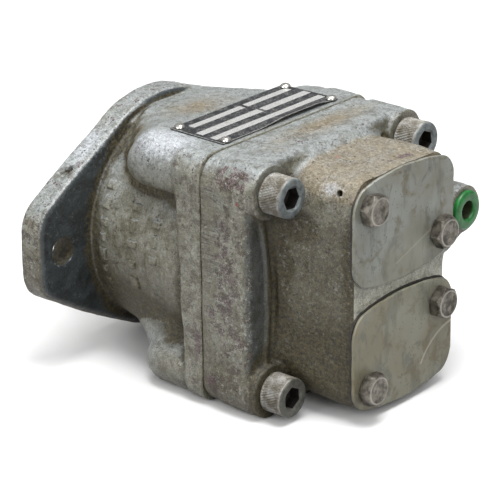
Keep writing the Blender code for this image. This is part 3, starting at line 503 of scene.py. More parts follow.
def closed_lathe(name, profile, count=96):
    """A profile that closes on itself, turned about the shaft's axis."""
    vertices = np.concatenate(lathe_rings(profile, count))
    index = np.arange(count)
    after = (index + 1) % count
    quads = []
    for i in range(len(profile)):
        a, b = i * count, ((i + 1) % len(profile)) * count
        quads.append(np.stack([a + index, a + after, b + after, b + index], -1))
    return make_object(name, vertices, np.concatenate(quads), 30.0)


def hexagon(flats):
    def radius(angles):
        folded = (angles + math.pi / 6) % (math.pi / 3) - math.pi / 6
        return flats / 2 / np.cos(folded)

    return radius


def hexagon_within(flats, limit):
    outline = hexagon(flats)
    return lambda angles: np.minimum(outline(angles), limit)


# Fasteners


def socket_screw(index, y, z, turn):
    base, top = SEAT + 0.15, SEAT + 12.8
    knurl_start, knurl_end = base + 1.0, top - 1.7

    def knurl(x):
        fade = step(x, knurl_start, knurl_start + 0.6) * (1 - step(x, knurl_end - 0.6, knurl_end))

        def radius(angles):
            lean = 0.5 + 0.5 * np.sin(44 * angles + 2.2 * x)
            cross = 0.5 + 0.5 * np.sin(44 * angles - 2.2 * x)
            return 9.55 - fade * (0.55 * lean + 0.14 * cross)

        return radius

    profile = [(70.0, 2.0), (70.0, 5.0), (71.2, 6.2), (base, 6.2), (base, 9.1), (base + 0.4, 9.5)]
    profile += [(x, knurl(x)) for x in np.linspace(knurl_start, knurl_end, 30)]
    profile += [(top - 1.3, 9.5), (top - 0.7, 9.42), (top - 0.25, 9.12), (top, 8.6)]
    side_rings = len(profile)
    socket = hexagon(9.53)
    profile += [(top + 0.02, 7.2), (top, 6.1), (top - 0.25, 5.8), (top - 0.75, socket)]
    face_rings = len(profile)
    profile += [(x, socket) for x in np.linspace(top - 1.5, top - 6.3, 5)]
    profile += [(top - 6.6, 4.2), (top - 7.8, 0.4)]
    slots = [0] * (side_rings - 3) + [1] * (face_rings - side_rings + 2)
    slots += [2] * (len(profile) - face_rings)
    return ringed(f"socket_screw_{index}", lathe_rings(profile, 288, y, z, turn), slots)


def hex_bolt(index, y, z, turn):
    flats = 14.29
    face = 6.75
    profile = [(139.0, 1.5), (139.0, 3.9), (140.0, 4.76), (BOLT_BASE - 0.2, 4.76)]
    profile += [(BOLT_BASE - 0.2, 6.9), (BOLT_BASE + 0.05, 7.0)]
    profile += [(BOLT_BASE + 0.3, hexagon(flats - 0.2))]
    profile += [(BOLT_BASE + 0.5, hexagon(flats)), (BOLT_TOP - 2.3, hexagon(flats))]
    for drop in np.linspace(2.0, 0.35, 12):
        profile.append((BOLT_TOP - drop, hexagon_within(flats, face + 1.0 * (drop - 0.3) ** 0.9)))
    profile += [(BOLT_TOP - 0.15, face - 0.12), (BOLT_TOP, face - 0.5), (BOLT_TOP, 6.0)]
    profile += [(BOLT_TOP - 0.12, 5.7), (BOLT_TOP - 0.14, 3.0), (BOLT_TOP - 0.1, 0.5)]
    obj = ringed(f"hex_bolt_{index}", lathe_rings(profile, 144, y, z, turn))
    local = np.array([v.co for v in obj.data.vertices]) / MM - ORIGIN
    out = np.hypot(local[:, 1] - y, local[:, 2] - z)
    # The rim and corners are marked for pale wear and a painted highlight.
    rim = np.clip((local[:, 0] - BOLT_TOP + 0.9) / 0.8, 0, 1) * (out > 5.9)
    corner = np.clip((out - 7.9) / 0.35, 0, 1)
    store(obj, "edge", np.maximum(rim, corner * 0.8))
    return obj


def rivet(index, x, y):
    """A round-headed drive screw, upright in the pad."""
    low = BLOCK_HALF + 0.95
    profile = [(-4.5, 0.3), (-4.5, 1.2), (0.0, 1.2), (0.0, 2.55), (0.25, 2.72), (0.6, 2.6)]
    profile += [(0.35 + 1.5 * math.sin(a), 2.62 * math.cos(a)) for a in np.linspace(0.35, 1.3, 6)]
    profile += [(1.72, 0.5), (1.62, 0.25)]
    rings = []
    angles = np.linspace(0.0, math.tau, 40, endpoint=False)
    for height, radius in profile:
        r = radius * (1 + 0.03 * np.sin(3 * angles + index))
        level = np.full(len(angles), low + height)
        rings.append(np.stack([x + r * np.cos(angles), y + r * np.sin(angles), level], -1))
    return ringed(f"rivet_{index}", rings)


# Name plate

PLATE_CORNERS = ((54.9, -41.6), (88.2, -42.0), (88.2, 41.2), (53.9, 40.9))
BAR_ROWS = (
    (0.14, 0.26, ((0.09, 0.535), (0.56, 0.955))),
    (0.42, 0.56, ((0.025, 0.555), (0.575, 0.98))),
    (0.70, 0.83, ((0.02, 0.975),)),
)
BAR_RISE_U = 0.003  # the sloping edge of a bar, as a share of the plate's width and depth
BAR_RISE_V = 0.006


def name_plate():
    """A thin enamelled sheet with raised blank bars, its rear edge sprung up on one side."""
    u_breaks = {0.0, 1.0, 0.006, 0.994}
    v_breaks = {0.0, 1.0, 0.012, 0.988}
    for low, high, bars in BAR_ROWS:
        v_breaks |= {low, low + BAR_RISE_V, high - BAR_RISE_V, high}
        for start, end in bars:
            u_breaks |= {start, start + BAR_RISE_U, end - BAR_RISE_U, end}
    us = np.array(sorted(u_breaks | set(np.linspace(0, 1, 61))))
    vs = np.array(sorted(v_breaks | set(np.linspace(0, 1, 25))))
    u, v = np.meshgrid(us, vs, indexing="ij")
    a, b, c, d = (np.array(p) for p in PLATE_CORNERS)
    front = a + (d - a) * u[..., None]
    rear = b + (c - b) * u[..., None]
    plan = front + (rear - front) * v[..., None]
    raised = np.zeros_like(u)
    for low, high, bars in BAR_ROWS:
        for start, end in bars:
            within = step(u, start, start + BAR_RISE_U) * (1 - step(u, end - BAR_RISE_U, end))
            within *= step(v, low, low + BAR_RISE_V) * (1 - step(v, high - BAR_RISE_V, high))
            raised = np.maximum(raised, within)
    spring = step(v, 0.78, 1.0) * step(u, 0.30, 0.56) * (1 - step(u, 0.80, 0.97)) * 1.5
    dent = 0.12 * np.sin(9 * u + 2) * np.sin(5 * v + 1)
    level = step(u, 0.0, 0.006) * step(1 - u, 0.0, 0.006)
    level = level * step(v, 0.0, 0.012) * step(1 - v, 0.0, 0.012)
    round_off = 0.12 * (level - 1)
    low = BLOCK_HALF + 0.12 + spring + dent * 0.6 + 0.1
    top = low + 0.62 + 0.09 * raised + round_off
    upper = np.dstack([plan, top])
    lower = np.dstack([plan, low])
    rows, columns = u.shape
    index = np.arange(rows * columns).reshape(rows, columns)
    under = index + rows * columns
    quads = []
    for grid in (index, under.T):
        ring = (grid[:-1, :-1], grid[:-1, 1:], grid[1:, 1:], grid[1:, :-1])
        quads.append(np.stack(ring, -1).reshape(-1, 4))
    loop = np.concatenate([index[:, 0], index[-1, 1:], index[-2::-1, -1], index[0, -2:0:-1]])
    below = loop + rows * columns
    quads.append(np.stack([loop, np.roll(loop, -1), np.roll(below, -1), below], -1))
    vertices = np.concatenate([upper.reshape(-1, 3), lower.reshape(-1, 3)])
    quads = np.concatenate(quads)[:, ::-1]
    obj = make_object("data_plate", vertices, quads, 30.0)
    store(obj, "bar", np.concatenate([raised.ravel(), np.zeros(raised.size)]))
    rim = np.minimum(np.minimum(u, 1 - u) * 84, np.minimum(v, 1 - v) * 36)
    rim = 0.75 * (1 - step(rim, 0.0, 1.2))
    store(obj, "edge", np.concatenate([rim.ravel(), np.zeros(rim.size)]))
    return obj


# Materials


def srgb(red, green, blue):
    values = []
    for channel in (red, green, blue):
        c = channel / 255
        values.append(c / 12.92 if c <= 0.04045 else ((c + 0.055) / 1.055) ** 2.4)
    return (*values, 1.0)


class Value:
    """A node's output. Arithmetic with it adds the nodes that work the result out."""

    def __init__(self, look, socket):
        self.look = look
        self.socket = socket

    def __add__(self, other):
        return self.look.math("ADD", self, other)

    def __mul__(self, other):
        return self.look.math("MULTIPLY", self, other)

    def __sub__(self, other):
        return self.look.math("SUBTRACT", self, other)

    def __rsub__(self, other):
        return self.look.math("SUBTRACT", other, self)

    def span(self, low, high, out_low=0.0, out_high=1.0):
        """A smooth step from low to high, where low may be the greater."""
        limits = {"From Min": low, "From Max": high, "To Min": out_low, "To Max": out_high}
        inputs = {"Value": self, **limits}
        return self.look.node("ShaderNodeMapRange", inputs, interpolation_type="SMOOTHSTEP")


class Look:
    """Builds one material's nodes. Textures are in millimetres of object space."""

    def __init__(self, name):
        self.material = bpy.data.materials.new(name)
        self.material.use_nodes = True
        self.tree = self.material.node_tree
        self.shader = self.tree.nodes["Principled BSDF"]
        self.place = self.scaled(self.node("ShaderNodeTexCoord", output="Object"), 1 / MM)
        self.colour = None

    def put(self, socket, value):
        if isinstance(value, Value):
            self.tree.links.new(value.socket, socket)
        else:
            socket.default_value = value

    def node(self, kind, inputs=(), output=0, **settings):
        node = self.tree.nodes.new(kind)
        for key, value in settings.items():
            setattr(node, key, value)
        for key, value in dict(inputs).items():
            self.put(node.inputs[key], value)
        return Value(self, node.outputs[output])

    def math(self, operation, a, b=0.0):
        return self.node("ShaderNodeMath", {0: a, 1: b}, operation=operation)

    def scaled(self, vector, factor):
        return self.node("ShaderNodeVectorMath", {0: vector, "Scale": factor}, operation="SCALE")

    def attribute(self, name):
        return self.node("ShaderNodeAttribute", output="Fac", attribute_name=name)

    def coordinate(self, axis):
        return self.node("ShaderNodeSeparateXYZ", {0: self.place}, axis)

    def shifted(self, shift, stretch=(1, 1, 1)):
        location = (shift, shift * 0.7, -shift)
        inputs = {"Vector": self.place, "Scale": stretch, "Location": location}
        return self.node("ShaderNodeMapping", inputs)

    def noise(self, size, detail=3.0, roughness=0.55, shift=0.0, stretch=(1, 1, 1), distortion=0.0):
        inputs = {
            "Vector": self.shifted(shift, stretch),
            "Scale": 1.0 / size,
            "Detail": detail,
            "Roughness": roughness,
            "Distortion": distortion,
        }
        return self.node("ShaderNodeTexNoise", inputs, "Fac")

    def cells(self, size, shift):
        inputs = {"Vector": self.shifted(shift), "Scale": 1.0 / size}
        return self.node("ShaderNodeTexVoronoi", inputs, "Distance")

    def mix(self, factor, a, b):
        """Mixes two colours, which are earlier mixes or (red, green, blue) out of 255."""
        a, b = (srgb(*colour) if isinstance(colour, tuple) else colour for colour in (a, b))
        return self.node("ShaderNodeMix", {"Factor": factor, 6: a, 7: b}, 2, data_type="RGBA")

    def lay(self, factor, colour):
        """Lays one more colour over what is there."""
        self.colour = self.mix(factor, self.colour, colour)

    def bump(self, height, distance, strength, **under):
        inputs = {"Strength": strength, "Distance": distance * MM, "Height": height, **under}
        return self.node("ShaderNodeBump", inputs)

    def finish(self, roughness, metallic, normal, specular=0.5):
        inputs = self.shader.inputs
        self.put(inputs["Base Color"], self.colour)
        self.put(inputs["Roughness"], roughness)
        self.put(inputs["Metallic"], metallic)
        self.put(inputs["Normal"], normal)
        self.put(inputs["Specular IOR Level"], specular)
        return self.material


def cast_paint(name, seed):
    """Old grey paint on a rough iron casting: dusty on top and grimy in its hollows, with painted light
    on upward faces, painted highlights on lit edges, and painted shade in hollows, recesses and lower
    parts.
    """
    look = Look(name)
    mask = look.attribute
    broad = look.noise(26.0, 4.0, 0.6, seed)
    patch = look.noise(9.0, 6.0, 0.68, seed + 7, distortion=0.4)
    mottle = look.noise(4.2, 7.0, 0.72, seed + 3)
    small = look.noise(1.7, 5.0, 0.72, seed + 13)
    speck = look.noise(0.6, 3.0, 0.7, seed + 19)
    olive = look.mix(patch.span(0.38, 0.64), (114, 111, 94), (146, 145, 133))
    blue = look.mix(mottle.span(0.36, 0.62), (118, 121, 117), (156, 162, 163))
    # Paler blue paint where the broad noise runs high, and painted light: upward faces and the spots
    # given per region turn paler blue, standing in for light from above and for highlights.
    clean_and_lit = (mask("up") * 0.75 + broad * 0.9).span(0.62, 1.15)
    clean_and_lit = look.math("MAXIMUM", clean_and_lit, mask("clean_and_lit"))
    look.colour = look.mix(clean_and_lit, olive, blue)
    dirty = mottle.span(0.5, 0.62) * (1.0 - clean_and_lit * 0.55)
    look.lay(dirty * 0.6, (84, 76, 56))
    # Painted shade: dark blue-grey laid on the flange's back face, inside the ear holes, in the cover's
    # recesses and on the screw pockets' walls.
    look.lay(mask("painted_shade"), look.mix(patch.span(0.3, 0.7), (44, 48, 49), (66, 72, 74)))
    stain = (mask("stain") + patch * 0.5 + mottle * 0.3 - 0.15).span(0.5, 1.0)
    look.lay(stain * 0.8, look.mix(small.span(0.4, 0.6), (112, 94, 62), (138, 124, 98)))
    # Dark brown from dirt and painted shade: deeper the more hollow the surface is, and where the
    # per-region mask puts dirt or shade.
    hollows = mask("hollow") * 1.15 + mask("crevice") * 0.8
    brown = (hollows + mask("grime_and_shade") + patch * 0.55).span(0.62, 1.25)
    look.lay(brown * 0.9, look.mix(small.span(0.38, 0.62), (33, 28, 15), (76, 68, 42)))
    rust = (mask("rust") + small * 0.7).span(0.9, 1.3)
    look.lay(rust * 0.7, (92, 64, 38))
    chips = (mask("primer") + mottle * 0.9 + small * 0.25).span(1.0, 1.05)
    look.lay(chips * 0.88, look.mix(speck.span(0.4, 0.6), (56, 44, 42), (112, 94, 94)))
    # Pale bluish grey for whitish patches, and as painted highlights on lit edges, the lobe's top and
    # the cover's ridge.
    white_and_highlight = (mask("white_and_highlight") + small * 0.8).span(0.8, 1.3)
    look.lay(white_and_highlight * 0.8, (190, 194, 200))
    worn = (mask("edge") + small * 0.8).span(1.05, 1.3)
    look.lay(worn * 0.55 * (1.0 - brown), (176, 182, 186))
    region = look.noise(6.0, 3.0, 0.6, seed + 31).span(0.46, 0.6)
    pits = look.cells(1.9, seed).span(0.27, 0.17) * region
    look.lay(pits * 0.85, (38, 33, 26))
    scuffs = look.noise(1.5, 5.0, 0.8, seed + 41).span(0.6, 0.66)
    look.lay(scuffs * 0.4 * (1.0 - brown), (178, 180, 176))
    streaks = look.noise(1.0, 2.0, 0.7, 3.0, (0.05, 1.6, 1.6))
    scored = mask("filed") * streaks.span(0.46, 0.58) * patch.span(0.4, 0.55)
    look.lay(scored * 0.75, (56, 48, 36))
    bare = look.mix(mottle.span(0.35, 0.65), (196, 195, 178), (212, 212, 198))
    look.lay(mask("bare") * 0.95, bare)
    flaking = look.noise(5.0, 8.0, 0.78, seed + 51, distortion=0.3)
    flakes = flaking.span(0.53, 0.55) * mask("flaked")
    look.lay(flakes * 0.85, look.mix(speck.span(0.4, 0.6), (48, 40, 32), (88, 74, 60)))
    flecks = look.noise(2.2, 6.0, 0.8, seed + 61).span(0.56, 0.6)
    look.lay(flecks * mask("flaked") * 0.65, (180, 180, 172))
    look.lay(mask("red") * speck.span(0.4, 0.55), (186, 44, 30))
    grit = small * 0.35 + speck * 0.75
    look.colour = look.scaled(look.colour, grit.span(0.36, 0.74, 0.5, 1.32))
    rough = patch * 0.22 + 0.24 + brown * 0.3 - clean_and_lit * 0.07
    grain = small * 0.4 + speck * 0.3 - pits * 0.6 - scored * 0.3
    fine = look.bump(grain - chips * 0.2 - flakes * 0.25, 0.4, 0.9)
    return look.finish(rough, 0.0, look.bump(patch, 0.5, 0.6, Normal=fine))


def plate_paint(name, seed, cool):
    """Thin grey-green paint on sheet steel, rubbed pale at its edges."""
    look = Look(name)
    mask = look.attribute
    broad = look.noise(30.0, 3.0, 0.55, seed)
    patch = look.noise(8.0, 5.0, 0.6, seed + 5, distortion=0.5)
    streak = look.noise(6.0, 4.0, 0.6, seed, (1.0, 1.0, 0.28))
    small = look.noise(1.6, 3.0, 0.6, seed + 9)
    dark = look.mix(cool, (128, 123, 102), (128, 127, 114))
    light = look.mix(cool, (138, 137, 122), (150, 153, 147))
    look.colour = look.mix(broad.span(0.35, 0.65), dark, light)
    look.lay(streak.span(0.5, 0.66) * 0.55, (94, 94, 84))
    look.lay(patch.span(0.52, 0.66) * 0.6, (104, 92, 66))
    smudge = look.noise(12.0, 6.0, 0.7, seed + 21, (1.0, 1.0, 0.6), 0.8)
    look.lay(smudge.span(0.56, 0.64) * 0.5, (80, 82, 80))
    flecks = look.cells(2.4, seed).span(0.2, 0.1) * broad.span(0.45, 0.55)
    look.lay(flecks * 0.6, (60, 50, 38))
    # Dark brown from dirt round the bolts and painted shade along the plate's back edge.
    brown = (mask("grime_and_shade") + patch * 0.5).span(0.6, 1.1)
    look.lay(brown * 0.8, (76, 62, 44))
    rust = (mask("rust") + small * 0.5 + patch * 0.3).span(0.95, 1.15)
    look.lay(rust * 0.85, look.mix(small, (92, 56, 34), (58, 42, 30)))
    worn = (mask("edge") + small * 0.4).span(0.75, 1.05)
    look.lay(worn * 0.7, (196, 199, 198))
    look.lay(mask("scratch") * 0.7, (196, 188, 172))
    look.lay(mask("pale") * 0.45, (160, 161, 148))
    normal = look.bump(patch * 0.6 + small * 0.25, 0.35, 0.6)
    return look.finish(patch * 0.2 + 0.42, 0.15, normal)


def bolt_look():
    """Oxidised steel, worn pale at its edges, which also stand for a painted highlight on the rim."""
    look = Look("oxidised_bolt")
    patch = look.noise(4.0, 4.0, 0.65, 6.0)
    small = look.noise(0.8, 3.0, 0.65, 9.0)
    look.colour = look.mix(patch.span(0.3, 0.7), (56, 52, 46), (134, 129, 120))
    look.lay(small.span(0.5, 0.75) * 0.5, (64, 50, 36))
    # Pale edges: wear, and a painted highlight along the rim and corners.
    worn = (look.attribute("edge") + small * 0.7).span(0.95, 1.35)
    look.lay(worn * 0.7, (164, 160, 152))
    return look.finish(small * 0.3 + 0.36, 0.75, look.bump(small + patch * 0.5, 0.12, 0.8))


def plain_finish(name, dark, light, rough, metallic, size=3.0, depth=0.05):
    """An unworn surface with a little variation in colour, gloss and height."""
    look = Look(name)
    patch = look.noise(size, 4.0, 0.6)
    small = look.noise(size / 6, 3.0, 0.6, 2.0)
    look.colour = look.mix(patch.span(0.3, 0.7), dark, light)
    return look.finish(small * 0.15 + rough, metallic, look.bump(small + patch, depth, 0.7))


def knurl_look():
    """A knurled screw side: pale worn crests over packed brown dirt."""
    look = Look("knurled_side")
    patch = look.noise(5.0, 4.0, 0.65, 4.0)
    small = look.noise(0.7, 3.0, 0.6, 9.0)
    look.colour = look.mix(patch.span(0.35, 0.65), (104, 98, 86), (158, 157, 152))
    look.lay(small.span(0.5, 0.7) * 0.6, (70, 58, 44))
    seat = SEAT - HALF_LENGTH
    look.lay(look.coordinate(0).span(seat + 0.9, seat + 0.3) * 0.9, (30, 26, 20))
    return look.finish(small * 0.25 + 0.4, 0.25, look.bump(small, 0.1, 0.8))


def screw_face_look(name, dark, light):
    look = Look(name)
    patch = look.noise(3.0, 4.0, 0.6, 2.0)
    small = look.noise(0.8, 3.0, 0.6, 5.0)
    look.colour = look.mix(patch.span(0.35, 0.65), dark, light)
    look.lay(small.span(0.58, 0.72) * 0.7, (74, 66, 54))
    return look.finish(small * 0.2 + 0.42, 0.05, look.bump(patch, 0.2, 0.5))


def name_plate_look():
    """Black enamel with pale raised bars, chipped at its rim."""
    look = Look("enamelled_name_plate")
    small = look.noise(0.7, 3.0, 0.7, 3.0)
    patch = look.noise(4.0, 4.0, 0.6, 8.0)
    black = look.mix(patch.span(0.4, 0.7), (24, 26, 29), (44, 46, 50))
    bare = look.mix(small.span(0.35, 0.7), (186, 188, 188), (150, 148, 142))
    bar = look.attribute("bar") - small.span(0.62, 0.7) * 0.5
    look.colour = look.mix(bar.span(0.4, 0.6), black, bare)
    chipped = (look.attribute("edge") + small * 0.9).span(1.0, 1.1)
    flecks = look.noise(1.1, 2.0, 0.8, 6.0, (1.0, 0.6, 1.0)).span(0.66, 0.7)
    rubbed = look.noise(0.8, 2.0, 0.8, 9.0, (1.0, 0.7, 1.0)).span(0.5, 0.6)
    rubbed = rubbed * patch.span(0.42, 0.52)
    pale = look.math("MAXIMUM", flecks * 0.7, rubbed * 0.45)
    look.lay(look.math("MAXIMUM", chipped * 0.8, pale), (150, 150, 148))
    look.lay(patch.span(0.62, 0.75) * 0.4, (120, 96, 62))
    return look.finish(small * 0.2 + 0.3, 0.2, look.bump(small, 0.06, 0.7))


def green_look():
    """Green plastic that lets a little light in, with dirt in the cap's recess."""
    look = Look("green_cap_plastic")
    patch = look.noise(3.0, 4.0, 0.6, 1.0)
    small = look.noise(0.6, 3.0, 0.6, 5.0)
    look.colour = look.mix(patch.span(0.35, 0.65), (12, 88, 33), (24, 118, 49))
    look.lay(look.noise(2.2, 4.0, 0.7, 11.0).span(0.56, 0.7) * 0.75, (58, 62, 44))
    across = look.coordinate(1) - DRAIN_Y
    above = look.coordinate(2) - (DRAIN_Z + SHAFT_HEIGHT)
    away = look.math("SQRT", across * across + above * above)
    face = DRAIN_FACE - HALF_LENGTH
    inside = away.span(6.2, 5.2) * look.coordinate(0).span(face + 2.2, face + 0.8)
    look.lay(inside * 0.92, (44, 38, 24))
    inputs = look.shader.inputs
    inputs["Subsurface Weight"].default_value = 0.12
    inputs["Subsurface Radius"].default_value = (0.0006, 0.0015, 0.0006)
    inputs["Subsurface Scale"].default_value = 1.0
    return look.finish(small * 0.2 + 0.3, 0.0, look.bump(patch, 0.15, 0.5))


def floor_look():
    look = Look("studio_floor")
    dark, light = (238.614,) * 3, (241.046,) * 3
    look.colour = look.mix(look.noise(300.0, 2.0, 0.5), dark, light)
    return look.finish(0.7, 0.0, look.bump(look.noise(4.0), 0.05, 0.2), specular=0.2)


# Paint and dirt, with painted light and shade, region by region


def spot(points, place, reach):
    """1 at a place and 0 at its reach, which may differ along the three axes."""
    scale = np.asarray(reach, float) * np.ones(3)
    far = np.linalg.norm((points - np.array(place)) / scale, axis=1)
    return np.clip(1.0 - far, 0.0, 1.0)


def spots(points, *places):
    return np.max([strength * spot(points, place, reach) for strength, place, reach in places], axis=0)


def paint_housing(obj, p, n):
    x, y, z = p.T
    radius = np.hypot(y, z)
    store(obj, "up", n[:, 2])
    # Painted shade: the flange's back face and the insides of the bolt holes in its ears are darkened.
    back_face = step(n[:, 0], 0.5, 0.8) * (x < 14.5) * (x > 5)
    hole = np.hypot(np.abs(y) - 73, z) < 8.2
    store(obj, "painted_shade", np.maximum(back_face, (x > 11) * hole))
    # Painted highlight in a band along the upper part of the flange's rounded back edge.
    back_edge_highlight = np.clip(1 - np.abs(x - 11.6) / 1.7, 0, 1) * (n[:, 0] < 0.9)
    back_edge_highlight = back_edge_highlight * (radius > 59) * step(z, 0, 14) * ~hole
    store(obj, "bare", (x < 0.3) * 1.0)
    # Paler paint as painted highlights on the lobe's top, the flange's upper left and the lower nose.
    clean_and_lit = spots(
        p,
        (1.7, (58, -50, 56), (34, 22, 18)),
        (1.4, (4, -50, 46), (12, 34, 26)),
        (1.3, (54, -52, -44), (18, 16, 16)),
    )
    store(obj, "clean_and_lit", clean_and_lit)
    valley = (radius < 68) * (x > 14) * (x < 62) * (y < 0)
    valley = valley * spots(
        p,
        (1.5, (50, -45.7, 33), (16, 7, 5)),
        (1.5, (36, -44.5, 35), (7, 7, 6)),
        (1.4, (29, -41.5, 39), (6, 7, 7)),
        (1.2, (24.5, -36.5, 43.5), (5, 8, 8)),
        (1.0, (23, -28, 49), (5, 9, 8)),
        (0.7, (22.5, -17, 54), (5, 10, 6)),
    )
    # Dirt spots, with painted shade low on the barrel and the block.
    dirt = spots(
        p,
        (0.9, (66, -56, 34), (9, 12, 8)),
        (0.8, (66, -56, -36), (14, 12, 14)),
        (0.55, (30, -40, -40), (40, 30, 34)),
        (0.4, (86, -62, -40), (8, 6, 30)),
    )
    # Painted shade: darker towards the bottom of the barrel, the block and the flange's rim.
    low = 0.95 * step(-z, -22, 36) * (x > 14) * (x < 76) * (radius < 60)
    low = low + 0.12 * step(-z, 0, 60) * (x > 76)
    low = low + 0.62 * (x < 12) * (radius > 58) * step(-z, -22, 4)
    dirt = np.maximum(dirt, valley * 0.8)
    # The insides of the bolt holes are darkened too, as painted shade.
    store(obj, "grime_and_shade", np.maximum(dirt, 1.1 * hole * (x < 12.4)) + low)
    ring = (x > 13.2) * (x < 15.2) * (radius < 56.4) * (y < 10)
    rust = spots(p, (1.1, (62, -56, 35), (8, 10, 6)), (0.8, (70, -61, 36), (5, 4, 4)))
    store(obj, "rust", np.maximum(rust, 0.5 * ring))
    patches = spots(
        p,
        (0.6, (80, -10, 62), (24, 70, 5)),
        (0.7, (38, -4, 60), (34, 44, 9)),
        (0.45, (30, -30, 52), (16, 20, 14)),
    )
    patches = patches * (1.0 - np.minimum(2.0 * spot(p, (64, -50, 58), (40, 26, 20)), 1.0))
    store(obj, "stain", np.maximum(valley * 1.1, patches))
    rim = (x < 11) * (radius > 58) * (np.abs(n[:, 0]) < 0.5) * ~hole
    primer = spots(p, (0.62, (88, -62, -30), (6, 4, 30)), (0.62, (50, -56, 56), (12, 12, 9)))
    store(obj, "primer", np.maximum(0.36 * rim, primer))
    # Painted highlights on the lobe's top and the flange's upper left, laid with the back edge's band.
    painted_highlight = spots(p, (1.15, (62, -50, 58), (40, 22, 16)), (0.85, (5, -48, 46), (16, 44, 30)))
    store(obj, "white_and_highlight", np.maximum(back_edge_highlight * 0.62, painted_highlight))
    lower_rim = 0.9 * rim * step(-z, -30, 5) + 0.5 * rim
    rear = 0.45 * (x > 74) * (np.abs(z) < 61.5) + 0.25 * (x > 14)
    store(obj, "flaked", np.maximum(lower_rim, rear))
    for name in ("filed", "red"):
        store(obj, name, np.zeros(len(p)))


